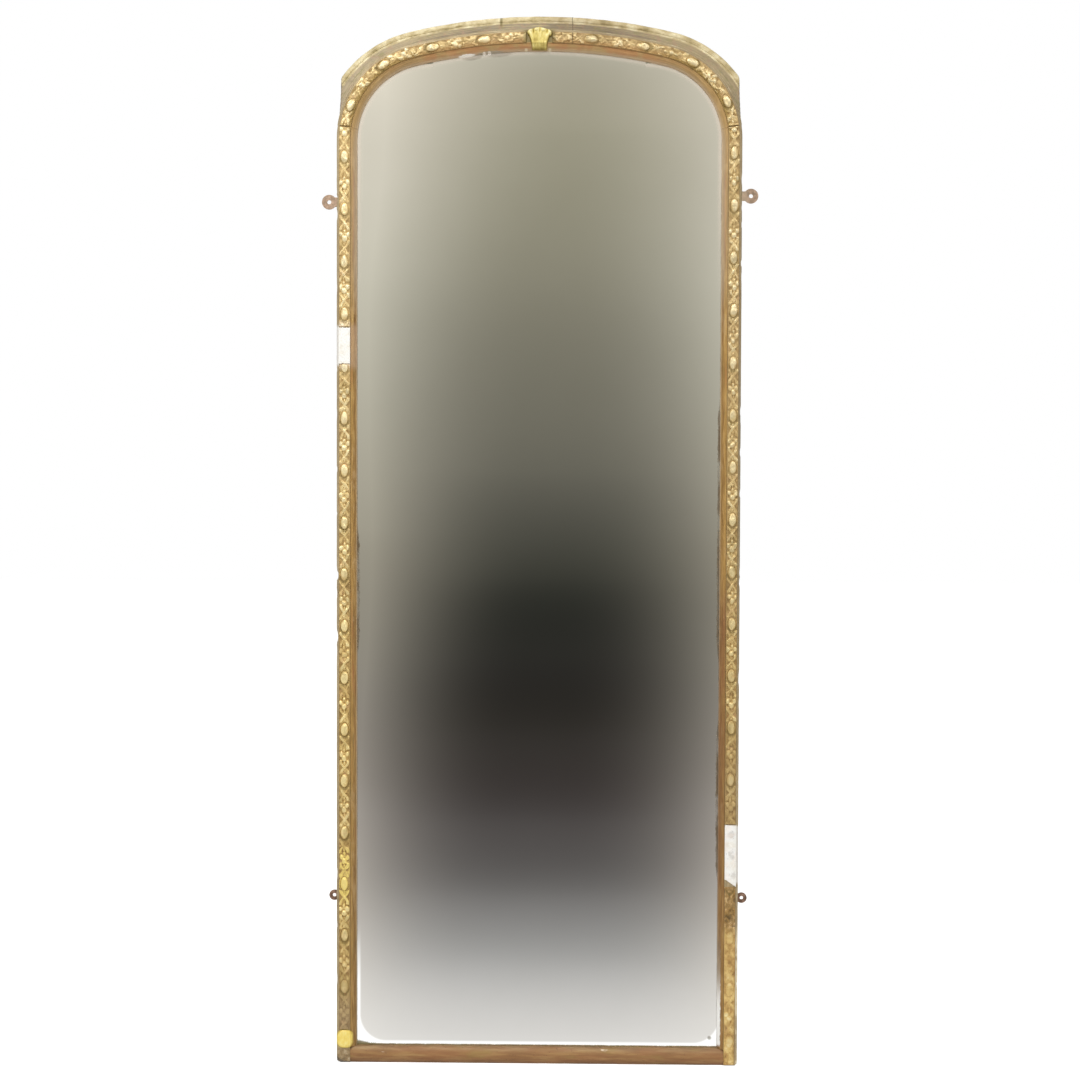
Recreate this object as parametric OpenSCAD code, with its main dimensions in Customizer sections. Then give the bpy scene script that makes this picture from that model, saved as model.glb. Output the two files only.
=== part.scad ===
// Arched pier mirror: a gilded pine frame with a sawn, laminated arch, a falling cove
// cornice cut off flush with the sides, a cast running ornament, plate glass and boarded back.
//
// The frame is drawn face up on the bench: X across, Y up the mirror, Z out of the wall.
// Two words are used for every section: "out" is the distance outwards from the sight
// line, and "level" is the height above the back of the frame. on_wall() stands it up.

/* [Overall size] */
// Width over the two stiles
frame_w = 676; // [560:1:800]
// Height from the foot to the top of the arch
frame_h = 1773; // [1300:1:2200]
// Depth of the stiles, from the back to the seat of the ornament
frame_d = 67; // [60:1:90]

/* [Arch] */
// Radius of the sight line along the crown
crown_r = 900; // [700:5:1200]
// Radius of the sight line at the shoulders
shoulder_r = 127; // [90:1:150]
// Height of the stile joints above the springing
joint_up = 20; // [6:1:20]
// Depth of the rear layer of the laminated arch
rear_layer_d = 30; // [24:1:32]

/* [Moulding widths] */
// Width of the sloped slip beside the glass
slip_w = 10.5; // [7:0.5:12]
// Width of the running ornament
ornament_w = 18.5; // [15:0.5:24]
// Width of the rounded outer arris
arris_w = 4.5; // [3:0.5:6]
// Height of the bottom rail
rail_h = 27.5; // [24:0.5:40]
// Rise of the rounded face of the bottom rail
rail_crown = 6; // [3:0.5:8]

/* [Cornice] */
// Width of the cornice outside the arch
cornice_w = 38.5; // [32:0.5:55]
// Width of the flat and bead along its outer edge
cornice_edge_w = 12; // [10:0.5:15]
// Radius of the hollow
cove_r = 52; // [46:1:80]
// Height above the springing where the cornice is cut off
cornice_foot = 24; // [22:1:40]

/* [Running ornament] */
// Length of one repeat
repeat_l = 87; // [70:0.5:110]
// Height of the lowest bead of the left run
first_bead = 44; // [40:1:60]
// Rise of the beads of the right run above those of the left, over the plaster fill
right_lead = 6; // [0:1:20]
// Length of an oval bead
bead_l = 21; // [16:0.5:26]
// Width of an oval bead
bead_w = 12; // [9:0.5:13]
// Radius of a rosette ring
ring_r = 3.9; // [3:0.1:4.4]
// Width of the crossed ribbons
ribbon_w = 3.2; // [2:0.1:4]
// Height of the beads above the seat
relief = 4; // [3:0.1:5]
// Thickness of the cast ground strip
ground_t = 1.2; // [0.8:0.1:2]
// Width of the cup of leaves at the crown
leaf_w = 41; // [36:1:50]
// Length of the cup of leaves
leaf_l = 36; // [30:1:42]

/* [Later repairs] */
// Drop from the springing to the lower end of the left plaster fill
fill_left_drop = 374.8; // [120:0.1:600]
// Length of the left plaster fill
fill_left_l = 62; // [40:1:120]
// Height of the lower end of the right plaster fill
fill_right_z = 304; // [150:1:500]
// Length of the right plaster fill
fill_right_l = 105; // [40:1:140]
// Height of the lower edge of the regilded boss on the left foot
boss_z = 26; // [15:1:40]
// Height of the boss itself
boss_h = 31; // [24:1:40]

/* [Glass and back] */
// Thickness of the mirror plate
glass_t = 5; // [4:0.5:6]
// Depth of the plate's face behind the ornament seat
glass_recess = 13; // [10:1:16]
// Cover of the plate behind the slip
glass_cover = 6; // [5:0.5:7]
// Thickness of the backboards
board_t = 7; // [5:0.5:9]
// Depth of the rebate for the backboards
board_rebate_d = 8; // [7:0.5:10]
// Width of the rebate for the backboards
board_rebate_w = 6; // [5:0.5:8]
// Height of the cross battens
batten_h = 45; // [35:1:60]
// Thickness of the cross battens
batten_t = 18; // [14:1:22]
// Height of the lower cross batten
batten_low_z = 480; // [350:10:600]
// Drop from the springing to the lower edge of the upper cross batten
batten_high_drop = 376.4; // [150:0.1:500]

/* [Hanging plates] */
// Thickness of the brass plates
plate_t = 2; // [1.5:0.5:3]
// Height of the neck at the edge of the frame
neck_h = 16; // [12:1:20]
// Length of a plate along the stile
plate_l = 52; // [44:1:70]
// Radius of the ears of the upper plates
upper_ear_r = 12.5; // [11:0.5:14]
// Radius of the ears of the lower plates
lower_ear_r = 9; // [8:0.5:11]
// Reach of the upper ears beyond the stiles, to the screw hole
upper_reach = 22; // [16:0.5:28]
// Reach of the lower ears beyond the stiles, to the screw hole
lower_reach = 13; // [10:0.5:16]
// Radius of the screw hole in the upper ears
upper_hole_r = 3.5; // [2.5:0.1:4.5]
// Radius of the screw hole in the lower ears
lower_hole_r = 3; // [2.5:0.1:4]
// Drop from the springing to the middle of the upper left plate
plate_upper_left_drop = 92.6; // [60:0.1:250]
// Drop from the springing to the middle of the upper right plate
plate_upper_right_drop = 82.4; // [60:0.1:250]
// Height of the lower left plate
plate_lower_left_z = 269; // [150:1:400]
// Height of the lower right plate
plate_lower_right_z = 269; // [150:1:400]

/* [Fits] */
// Clearance of tenons, dowels, screws and nails in their holes
fit_gap = 0.15; // [0.1:0.05:0.3]
// Glue line between curved faces
glue_gap = 0.3; // [0.2:0.05:0.5]
// Gap between neighbouring backboards, and round them
board_gap = 0.8; // [0.5:0.1:2]

/* [Hidden] */
$fn = 48;

// Section of the frame, outwards from the sight line
ornament_in = slip_w;
ornament_out = slip_w + ornament_w;
border = ornament_out + arris_w;
cornice_out = border + cornice_w;
ornament_mid = slip_w + ornament_w / 2;

// Levels above the back of the frame
seat = frame_d;
glass_front = seat - glass_recess;
glass_back = glass_front - glass_t;
slip_drop = 1;
slip_top = seat - slip_drop;
tips = seat + relief;
leaf_proud = 3;
leaf_front = tips + leaf_proud;
mid_level = (leaf_front - plate_t) / 2;

// Three-centred arch, followed by the sight line and by every moulding outside it
half_w = frame_w / 2;
sight_half = half_w - border;
shoulder_x = sight_half - shoulder_r;
centre_drop = sqrt(pow(crown_r - shoulder_r, 2) - pow(shoulder_x, 2));
turn = asin(shoulder_x / (crown_r - shoulder_r));
springing = frame_h - cornice_out - crown_r + centre_drop;
crown_y = springing - centre_drop;
joint_turn = 2 * asin(joint_up / shoulder_r);
meeting = [shoulder_x + shoulder_r * sin(turn), springing + shoulder_r * cos(turn), 0];
joint_y = springing + joint_up;
arc_fn = 240;
big = 2 * frame_h;
seam = 0.1;
over_turn = 1;

// Slip: flat along its top, sag of the slope, height of the lip at the glass
slip_flat = 1.5;
slip_sag = 3.2;
slip_lip = 3;

// Cornice: step below the arris, lip at both ends of the hollow, quirk inside the bead
cornice_step = 1;
cove_lip = 0.4;
cornice_quirk = 1;

// Joinery
tenon_l = 14;
tenon_edge = 4;
tenon_level = 20;
tenon_t = 18;
dowel_r = 4.5;
dowel_l = 40;
dowel_out = 21;
dowel_levels = [rear_layer_d / 2, (rear_layer_d + glass_back) / 2];

// What keeps its place below the springing
fill_left_z = springing - fill_left_drop;
batten_high_z = springing - batten_high_drop;
plate_upper_left_z = springing - plate_upper_left_drop;
plate_upper_right_z = springing - plate_upper_right_drop;

// Back: three upright boards, nailed on
board_count = 3;
board_out = slip_w + board_rebate_w - board_gap;
board_half = sight_half + board_out;
board_w = (2 * board_half - (board_count - 1) * board_gap) / board_count;
board_foot = rail_h - slip_w - board_rebate_w + board_gap;
nail_r = 1;
nail_head_r = 2.6;
nail_head_t = 0.8;
nail_depth = 10;
nail_in = board_rebate_w / 2;

// Hanging plates
plate_leg_w = 13;
plate_in = border - plate_leg_w - 0.5;
plate_screw_up = plate_l / 2 - 8;
plate_screw_out = plate_in + plate_leg_w / 2;
screw_r = 1.8;
screw_head_r = 3.6;
screw_l = 16;

// Ornament
end_gap = 0.5;
crown_gap = leaf_w / 2 + 2 * end_gap;
bar_r = 1.5;
eye_r = 2.1;
ribbon_inset = 2;
ribbon_clear = 3.5;
ribbon_at = (bead_l / 2 + repeat_l / 2 - ring_r) / 2;
ribbon_l = repeat_l / 2 - bead_l / 2 - ring_r - 2 * ribbon_clear;
ribbon_lean = atan((ornament_w - ribbon_w - 2 * ribbon_inset) / ribbon_l);
shoulder_arc = (shoulder_r + ornament_mid) * (90 - turn) * PI / 180;

// Repairs: plaster a little wider and lower than the ornament it replaces
plaster_extra = 0.5;
plaster_drop = 0.8;
plaster_bevel = 2;
fill_left_slant = 2;
fill_right_slant = 12;

// Blocks that bed the glass
setting_t = 2;
setting_l = 40;
setting_xs = [-200, 160];
block_l = 80;
block_w = 12;
side_blocks = 5;
foot_block_x = 170;
crown_block_a = 7;

// Nails and their places
side_nail_first = 120;
side_nail_pitch = 240;
batten_nail_x = 60;
crown_nail_a = 8;

// Points of a circular arc, for the rounded edges of a section
function arc_points(cx, cy, r, from, to, steps) =
    [for (i = [0 : steps]) let (a = from + (to - from) * i / steps) [cx + r * cos(a), cy + r * sin(a)]];

// ---- placing ----------------------------------------------------------------

module on_wall() { translate([0, mid_level, 0]) rotate([90, 0, 0]) children(); }

module on_side(side) { if (side == "left") mirror([1, 0, 0]) children(); else children(); }

// Everything between two heights on the bench
module between(low, high) {
    intersection() {
        children();
        translate([-big, low, -big]) cube([2 * big, high - low, 2 * big]);
    }
}

// The right stretch of a section beside the straight side, from one height to another
module straight_run(low, high) {
    translate([sight_half, high, 0]) rotate([90, 0, 0]) linear_extrude(high - low) children();
}

// The right shoulder, swept from the springing
module shoulder_run(angle) {
    translate([shoulder_x, springing, 0]) rotate_extrude(angle = angle, $fn = arc_fn)
        translate([shoulder_r, 0]) children();
}

// The whole crown, swept from shoulder to shoulder
module crown_run() {
    translate([0, crown_y, 0]) rotate([0, 0, 90 - turn]) rotate_extrude(angle = 2 * turn, $fn = arc_fn)
        translate([crown_r, 0]) children();
}

// The right half of the arch: both arcs start from the line where they meet
module arch_run() {
    translate(meeting) rotate([0, 0, 90 - turn]) {
        mirror([0, 1, 0]) translate([-shoulder_r, 0, 0])
            rotate_extrude(angle = 90 - turn, $fn = arc_fn) translate([shoulder_r, 0]) children();
        translate([-crown_r, 0, 0])
            rotate_extrude(angle = turn + over_turn, $fn = arc_fn) translate([crown_r, 0]) children();
    }
}

// The part of a right half above a height and clear of the seam at the crown
module right_half_above(low) {
    intersection() {
        children();
        translate([seam / 2, low, -big]) cube([big, big, 2 * big]);
    }
}

// A flat plate that fills the whole arched opening, widened by "out"
module arched_plate(out, foot, level, thick) {
    translate([0, 0, level]) {
        translate([-sight_half - out, foot, 0])
            cube([2 * (sight_half + out), springing - foot, thick]);
        for (side = ["left", "right"]) on_side(side) {
            translate([shoulder_x, springing, 0])
                rotate_extrude(angle = 90 - turn, $fn = arc_fn) square([shoulder_r + out, thick]);
            translate([0, crown_y, 0]) rotate([0, 0, 90 - turn])
                rotate_extrude(angle = turn, $fn = arc_fn) square([crown_r + out, thick]);
        }
    }
}

// Places a child on the ornament's centre line, a distance along it from the foot
module along_ornament(run) {
    past_springing = run - springing;
    past_shoulder = past_springing - shoulder_arc;
    if (past_springing < 0)
        translate([sight_half + ornament_mid, run, seat]) children();
    else if (past_shoulder < 0)
        translate([shoulder_x, springing, seat])
            rotate([0, 0, past_springing / shoulder_arc * (90 - turn)])
                translate([shoulder_r + ornament_mid, 0, 0]) children();
    else
        translate([0, crown_y, seat])
            rotate([0, 0, 90 - turn + past_shoulder / (crown_r + ornament_mid) * 180 / PI])
                translate([crown_r + ornament_mid, 0, 0]) children();
}

// ---- sections ---------------------------------------------------------------

// Stile and arch: square body, rebated behind for the boards, rounded outer arris
module core_section() {
    polygon(concat(
        [[slip_w + board_rebate_w, 0], [slip_w + board_rebate_w, board_rebate_d],
         [slip_w, board_rebate_d], [slip_w, seat]],
        arc_points(ornament_out, seat - arris_w, arris_w, 90, 0, 4),
        [[border, 0]]
    ));
}

module layer_section(low, high) {
    intersection() {
        core_section();
        translate([0, low]) square([2 * border, high - low]);
    }
}

// Slip: a small moulding that slopes down to the glass and covers its edge
module slip_section(glue = 0) {
    polygon([
        [0, glass_front], [slip_w - glue, glass_front], [slip_w - glue, slip_top],
        [slip_w - slip_flat, slip_top], [slip_w / 2, slip_top - slip_sag], [0, glass_front + slip_lip]
    ]);
}

// Cornice: a hollow that falls from the arch back to a flat and a bead at the wall
module cornice_section() {
    top = [border + glue_gap, seat - arris_w - cornice_step];
    foot = [cornice_out - cornice_edge_w, cornice_edge_w];
    mid = (top + foot) / 2;
    chord = norm(foot - top);
    away = [(top - foot)[1], (foot - top)[0]] / chord;
    bead_r = cornice_edge_w / 2 + cove_lip;
    difference() {
        polygon([[top[0], 0], [foot[0], 0], foot, top]);
        translate(mid + away * (sqrt(pow(cove_r, 2) - pow(chord / 2, 2)) + cove_lip))
            circle(cove_r, $fn = arc_fn);
    }
    intersection() {
        union() {
            translate([foot[0] - cornice_quirk, 0])
                square([cornice_edge_w / 2 + cornice_quirk, cornice_edge_w - cornice_quirk]);
            translate([cornice_out - bead_r, cornice_edge_w / 2]) circle(bead_r);
        }
        square([2 * cornice_out, 2 * cornice_edge_w]);
    }
}

// Bottom rail: a rounded face with a lip over the foot of the glass
module rail_section() {
    face_r = (pow(rail_h / 2, 2) + pow(rail_crown, 2)) / (2 * rail_crown);
    inner = rail_h - slip_w;
    intersection() {
        union() {
            translate([0, board_rebate_d]) square([inner, seat]);
            square([inner - board_rebate_w, seat]);
            translate([0, glass_front]) square([rail_h, seat]);
        }
        union() {
            square([rail_h, seat - rail_crown]);
            translate([rail_h / 2, seat - face_r]) circle(face_r, $fn = arc_fn);
        }
    }
}

// ---- carcase ----------------------------------------------------------------

module dowel_set(grow = 0) {
    for (side = ["left", "right"], level = dowel_levels) on_side(side)
        translate([sight_half + dowel_out, joint_y + dowel_l / 2 + grow, level])
            rotate([90, 0, 0]) cylinder(r = dowel_r + grow, h = dowel_l + 2 * grow);
    translate([-dowel_l / 2 - grow, crown_y + crown_r + dowel_out, dowel_levels[1]])
        rotate([0, 90, 0]) cylinder(r = dowel_r + grow, h = dowel_l + 2 * grow);
}

module tenon(side, grow = 0) {
    on_side(side)
        translate([sight_half + slip_w - fit_gap, tenon_edge - grow, tenon_level - grow])
            cube([tenon_l + fit_gap + grow, rail_h - slip_w - 2 * tenon_edge + 2 * grow, tenon_t + 2 * grow]);
}

module stile(side) {
    color("darkgoldenrod") on_wall() difference() {
        on_side(side) {
            straight_run(0, springing) core_section();
            between(springing, joint_y) shoulder_run(joint_turn) core_section();
        }
        tenon(side, fit_gap);
        dowel_set(fit_gap);
        nail_set(fit_gap);
        screw_set(fit_gap);
    }
}

module bottom_rail() {
    reach = sight_half + slip_w;
    color("peru") on_wall() difference() {
        union() {
            translate([-reach, 0, 0]) rotate([90, 0, 90]) linear_extrude(2 * reach) rail_section();
            tenon("left");
            tenon("right");
        }
        nail_set(fit_gap);
    }
}

module arch_front(side) {
    color("darkgoldenrod") on_wall() difference() {
        on_side(side) right_half_above(joint_y) arch_run() layer_section(rear_layer_d, seat);
        dowel_set(fit_gap);
    }
}

module arch_rear(side) {
    color("burlywood") on_wall() difference() {
        on_side(side) between(joint_y, frame_h)
            shoulder_run(90 - turn) layer_section(0, rear_layer_d);
        dowel_set(fit_gap);
        nail_set(fit_gap);
    }
}

module arch_rear_crown() {
    color("burlywood") on_wall() difference() {
        crown_run() layer_section(0, rear_layer_d);
        nail_set(fit_gap);
    }
}

module arch_dowels() { color("tan") on_wall() dowel_set(); }

// The cornice follows the arch and is sawn off flush with the sides of the frame
module cornice(side) {
    color("gray") on_wall() on_side(side) intersection() {
        arch_run() cornice_section();
        translate([seam / 2, springing + cornice_foot, -big]) cube([half_w - seam / 2, big, 2 * big]);
    }
}

// ---- slips ------------------------------------------------------------------

module slip(side) {
    color("sienna") on_wall() on_side(side) {
        straight_run(rail_h, springing) slip_section(glue_gap);
        between(springing, joint_y) shoulder_run(joint_turn) slip_section(glue_gap);
    }
}

module slip_arch(side) {
    color("sienna") on_wall() on_side(side)
        right_half_above(joint_y) arch_run() slip_section(glue_gap);
}

// ---- running ornament -------------------------------------------------------

// A body turned between two points along Y, such as an olive
module spindle(length, width) {
    flank_r = (pow(width / 2, 2) + pow(length / 2, 2)) / width;
    rotate([90, 0, 0]) rotate_extrude() intersection() {
        translate([width / 2 - flank_r, 0]) circle(flank_r, $fn = 96);
        translate([0, -length]) square([width, 2 * length]);
    }
}

module oval_bead() {
    intersection() {
        translate([0, 0, relief - bead_w / 2]) spindle(bead_l, bead_w);
        translate([-bead_w, -bead_l, ground_t / 2]) cube([2 * bead_w, 2 * bead_l, bead_w]);
    }
}

module rosette() {
    intersection() {
        union() {
            translate([0, 0, ground_t]) rotate_extrude() translate([ring_r, 0]) circle(bar_r, $fn = 24);
            translate([0, 0, ground_t - eye_r / 4]) sphere(eye_r, $fn = 24);
        }
        translate([-ornament_w, -ornament_w, ground_t / 2]) cube([2 * ornament_w, 2 * ornament_w, relief]);
    }
}

// Two ribbons that cross between a bead and a rosette
module crossed_ribbons() {
    for (a = [-ribbon_lean, ribbon_lean]) rotate([0, 0, a])
        translate([-ribbon_w / 2, -ribbon_l / 2, ground_t / 2])
            cube([ribbon_w, ribbon_l, relief - ground_t]);
}

// One stretch of cast ornament, from one point of the run to another
module ornament_run(side, from, to) {
    lowest = first_bead + (side == "right" && from > fill_right_z ? right_lead : 0);
    bead_half = bead_l / 2 + end_gap;
    ring_half = ring_r + bar_r + end_gap;
    ribbon_half = (ribbon_l + ribbon_w) / 2;
    first = ceil((from - lowest + bead_half) / repeat_l);
    last = floor((to - lowest - bead_half) / repeat_l);
    for (i = [first : last]) along_ornament(lowest + i * repeat_l) oval_bead();
    first_ring = ceil((from - lowest + ring_half) / repeat_l - 0.5);
    last_ring = floor((to - lowest - ring_half) / repeat_l - 0.5);
    for (i = [first_ring : last_ring]) along_ornament(lowest + (i + 0.5) * repeat_l) rosette();
    for (i = [first - 1 : last + 1], way = [-1, 1]) {
        run = lowest + i * repeat_l + way * ribbon_at;
        if (run > from + ribbon_half && run < to - ribbon_half) along_ornament(run) crossed_ribbons();
    }
}

module ground_section() {
    translate([ornament_in, seat]) square([ornament_w, ground_t]);
}

module ornament_side(side, from, to) {
    color("gold") on_wall() on_side(side) {
        straight_run(from, to) ground_section();
        ornament_run(side, from, to);
    }
}

module ornament_stile_top(side, from) {
    color("gold") on_wall() on_side(side) {
        straight_run(from, springing) ground_section();
        between(springing, joint_y) shoulder_run(joint_turn) ground_section();
        ornament_run(side, from, joint_y);
    }
}

module ornament_arch(side) {
    run_end = springing + shoulder_arc + (crown_r + ornament_mid) * turn * PI / 180 - crown_gap;
    color("gold") on_wall() on_side(side) {
        difference() {
            right_half_above(joint_y) arch_run() ground_section();
            translate([-big, 0, 0]) cube([big + crown_gap, big, big]);
        }
        ornament_run(side, joint_y, run_end);
    }
}

// ---- carved and cast pieces -------------------------------------------------

// Cup of five pointed leaves over the joint at the crown, on a tapered ground
module crown_leaf() {
    foot_y = crown_y + crown_r;
    foot_w = leaf_w * 0.6;
    tip_l = leaf_l / 4;
    lobe_w = leaf_w / 4;
    long = leaf_l * 1.2;
    pivot = leaf_l * 0.8;
    color("yellow") on_wall() {
        translate([0, foot_y, seat]) linear_extrude(leaf_proud)
            polygon([[-foot_w / 2, 0], [foot_w / 2, 0], [leaf_w / 2, leaf_l - tip_l],
                     [-leaf_w / 2, leaf_l - tip_l]]);
        intersection() {
            for (lean = [-16, -8, 0, 8, 16])
                translate([0, foot_y - pivot, leaf_front - lobe_w / 2]) rotate([0, 0, -lean])
                    translate([0, pivot + leaf_l - long / 2, 0]) spindle(long, lobe_w);
            translate([-leaf_w, foot_y, seat]) cube([2 * leaf_w, 2 * leaf_l, leaf_l]);
        }
    }
}

// Smooth boss, regilded, that stands where the lowest bead of the left stile would be
module foot_boss() {
    wide = ornament_w * 1.35;
    long = boss_h * 1.2;
    color("gold") on_wall() on_side("left") intersection() {
        translate([sight_half + ornament_mid, boss_z + boss_h / 2, tips - wide / 2]) spindle(long, wide);
        translate([sight_half + ornament_in, boss_z, seat]) cube([ornament_w, boss_h, relief]);
    }
}

// Plaster fills where the cast ornament is lost, with the lower end cut on the slant
module plaster_fill(side, low, length, slant) {
    wide = ornament_w + plaster_extra;
    level = relief - plaster_drop;
    color("whitesmoke") on_wall() on_side(side)
        translate([sight_half + ornament_in, low, seat]) {
            difference() {
                linear_extrude(level) polygon([[0, slant], [wide, 0], [wide, length], [0, length]]);
                translate([wide - plaster_bevel, -1, level]) rotate([0, 45, 0])
                    cube([2 * level, length + 2, 2 * level]);
            }
        }
}

// ---- glass and its blocking -------------------------------------------------

module mirror_plate() {
    color("lightsteelblue") on_wall()
        arched_plate(glass_cover, rail_h - slip_w + setting_t, glass_back, glass_t);
}

// Glued softwood blocks that hold the plate in its rebate
module glazing_blocks() {
    side_pitch = (springing - rail_h) / side_blocks;
    color("wheat") on_wall() {
        for (side = ["left", "right"], i = [0.5 : 1 : side_blocks - 0.5]) on_side(side)
            translate([sight_half + slip_w, rail_h + i * side_pitch, glass_back]) wedge(block_l, block_w);
        for (side = ["left", "right"]) on_side(side)
            translate([foot_block_x, rail_h - slip_w, glass_back]) rotate([0, 0, -90])
                wedge(block_l, block_w);
        intersection() {
            for (side = ["left", "right"]) on_side(side) {
                translate([0, crown_y, 0]) rotate([0, 0, 90 - crown_block_a])
                    translate([crown_r + slip_w, 0, glass_back]) wedge(block_l, block_w);
                translate([shoulder_x, springing, 0]) rotate([0, 0, 45])
                    translate([shoulder_r + slip_w, 0, glass_back]) wedge(block_l / 2, block_w * 1.3);
            }
            arched_plate(slip_w - glue_gap, rail_h, 0, seat);
        }
    }
}

// A triangular block: its long face on the left of the wood, its top against the plate
module wedge(length, wide) {
    translate([0, length / 2, 0]) rotate([90, 0, 0]) linear_extrude(length)
        polygon([[0, 0], [-wide, 0], [0, -wide]]);
}

module setting_blocks() {
    color("wheat") on_wall() for (x = setting_xs)
        translate([x, rail_h - slip_w, glass_back]) cube([setting_l, setting_t, glass_t]);
}

// ---- back -------------------------------------------------------------------

module backboard(index) {
    left = -board_half + index * (board_w + board_gap);
    color("tan") on_wall() difference() {
        intersection() {
            arched_plate(board_out, board_foot, board_rebate_d - board_t, board_t);
            translate([left, 0, 0]) cube([board_w, big, seat]);
        }
        nail_set(fit_gap);
    }
}

module cross_batten(height) {
    reach = sight_half + slip_w - fit_gap;
    color("tan") on_wall() difference() {
        translate([-reach, height, board_rebate_d]) cube([2 * reach, batten_h, batten_t]);
        nail_set(fit_gap);
    }
}

// Nails through the boards into the rebates, the bottom rail and the battens
module nail_set(grow = 0) {
    edge = board_half + board_gap - nail_in;
    side_nails = [for (z = [side_nail_first : side_nail_pitch : springing]) z];
    for (side = [-1, 1], z = side_nails) nail([side * edge, z], grow);
    for (index = [0 : board_count - 1]) {
        mid = -board_half + index * (board_w + board_gap) + board_w / 2;
        nail([mid, board_foot - board_gap + nail_in], grow);
        for (z = [batten_low_z, batten_high_z], x = [-batten_nail_x, batten_nail_x])
            nail([mid + x, z + batten_h / 2], grow);
    }
    nail_r_arch = crown_r + slip_w + nail_in;
    for (a = [-crown_nail_a, 0, crown_nail_a])
        nail([nail_r_arch * sin(a), crown_y + nail_r_arch * cos(a)], grow);
}

module nail(at, grow) {
    back = board_rebate_d - board_t;
    translate([at[0], at[1], back - nail_head_t]) {
        if (grow == 0) cylinder(r = nail_head_r, h = nail_head_t);
        cylinder(r = nail_r + grow, h = nail_head_t + board_t + nail_depth + grow);
    }
}

module board_nails() { color("dimgray") on_wall() nail_set(); }

// ---- hanging plates ---------------------------------------------------------

PLATES = [
    ["left", plate_upper_left_z, upper_reach, upper_ear_r, upper_hole_r],
    ["right", plate_upper_right_z, upper_reach, upper_ear_r, upper_hole_r],
    ["left", plate_lower_left_z, lower_reach, lower_ear_r, lower_hole_r],
    ["right", plate_lower_right_z, lower_reach, lower_ear_r, lower_hole_r]
];

module hanging_plate(which) {
    side = which[0];
    reach = which[2];
    ear_r = which[3];
    neck = min(neck_h, 2 * ear_r - 3);
    color("rosybrown") on_wall() difference() {
        on_side(side) translate([sight_half, which[1], -plate_t]) linear_extrude(plate_t) {
            translate([plate_in, -plate_l / 2]) square([plate_leg_w, plate_l]);
            translate([plate_in + 1, -neck / 2]) square([border - plate_in - 1 + reach, neck]);
            translate([border + reach, 0]) circle(ear_r);
        }
        on_side(side) translate([half_w + reach, which[1], -plate_t - 1])
            cylinder(r = which[4], h = plate_t + 2);
        screw_set(fit_gap);
    }
}

// Two countersunk screws in each plate
module screw_set(grow = 0) {
    for (which = PLATES, way = [-1, 1]) on_side(which[0])
        translate([sight_half + plate_screw_out, which[1] + way * plate_screw_up, -plate_t]) {
            cylinder(r1 = screw_head_r + grow, r2 = screw_r + grow, h = plate_t);
            cylinder(r = screw_r + grow, h = screw_l + grow);
        }
}

module plate_screws() { color("silver") on_wall() screw_set(); }

// ---- the mirror -------------------------------------------------------------

stile("left");  // stile_left
stile("right");  // stile_right
bottom_rail();
arch_front("left");  // arch_front_left
arch_front("right");  // arch_front_right
arch_rear("left");  // arch_rear_left
arch_rear_crown();
arch_rear("right");  // arch_rear_right
cornice("left");  // cornice_left
cornice("right");  // cornice_right
slip("left");  // slip_left
slip("right");  // slip_right
slip_arch("left");  // slip_arch_left
slip_arch("right");  // slip_arch_right
ornament_side("left", boss_z + boss_h + end_gap, fill_left_z - end_gap);  // ornament_left_lower
ornament_stile_top("left", fill_left_z + fill_left_l + end_gap);  // ornament_left_upper
ornament_side("right", end_gap, fill_right_z - end_gap);  // ornament_right_lower
ornament_stile_top("right", fill_right_z + fill_right_l + end_gap);  // ornament_right_upper
ornament_arch("left");  // ornament_arch_left
ornament_arch("right");  // ornament_arch_right
crown_leaf();
foot_boss();
plaster_fill("left", fill_left_z, fill_left_l, fill_left_slant);  // plaster_fill_left
plaster_fill("right", fill_right_z, fill_right_l, fill_right_slant);  // plaster_fill_right
mirror_plate();
glazing_blocks();
setting_blocks();
backboard(0);  // backboard_left
backboard(1);  // backboard_centre
backboard(2);  // backboard_right
cross_batten(batten_low_z);  // cross_batten_lower
cross_batten(batten_high_z);  // cross_batten_upper
arch_dowels();
board_nails();
plate_screws();
hanging_plate(PLATES[0]);  // hanging_plate_upper_left
hanging_plate(PLATES[1]);  // hanging_plate_upper_right
hanging_plate(PLATES[2]);  // hanging_plate_lower_left
hanging_plate(PLATES[3]);  // hanging_plate_lower_right
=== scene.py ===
import math
from functools import reduce

import bpy
import numpy as np
from mathutils import Matrix, Vector


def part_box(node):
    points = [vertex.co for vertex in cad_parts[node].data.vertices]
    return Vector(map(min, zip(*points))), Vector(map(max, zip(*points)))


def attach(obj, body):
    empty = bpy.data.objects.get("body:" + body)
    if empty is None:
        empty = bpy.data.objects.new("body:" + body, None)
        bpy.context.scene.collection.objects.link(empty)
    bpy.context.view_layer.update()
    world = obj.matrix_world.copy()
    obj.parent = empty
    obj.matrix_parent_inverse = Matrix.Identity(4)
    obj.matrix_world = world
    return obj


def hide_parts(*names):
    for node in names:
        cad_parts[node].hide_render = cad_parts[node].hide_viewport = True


# Looks of the arched pier mirror. Sizes are in millimetres on the frame's own section, as in the
# CAD: "out" runs outwards from the sight line, "level" rises from the back of the frame, and
# "run" is the distance along the ornament's centre line from the foot, up one side to the crown.

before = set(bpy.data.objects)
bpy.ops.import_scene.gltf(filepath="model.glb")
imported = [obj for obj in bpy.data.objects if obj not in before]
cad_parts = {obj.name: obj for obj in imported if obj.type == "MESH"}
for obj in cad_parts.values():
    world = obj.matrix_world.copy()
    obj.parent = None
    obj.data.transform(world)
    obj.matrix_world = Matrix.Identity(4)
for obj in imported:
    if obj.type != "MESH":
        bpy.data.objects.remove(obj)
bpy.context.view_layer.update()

# ---- sizes of the frame --------

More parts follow.
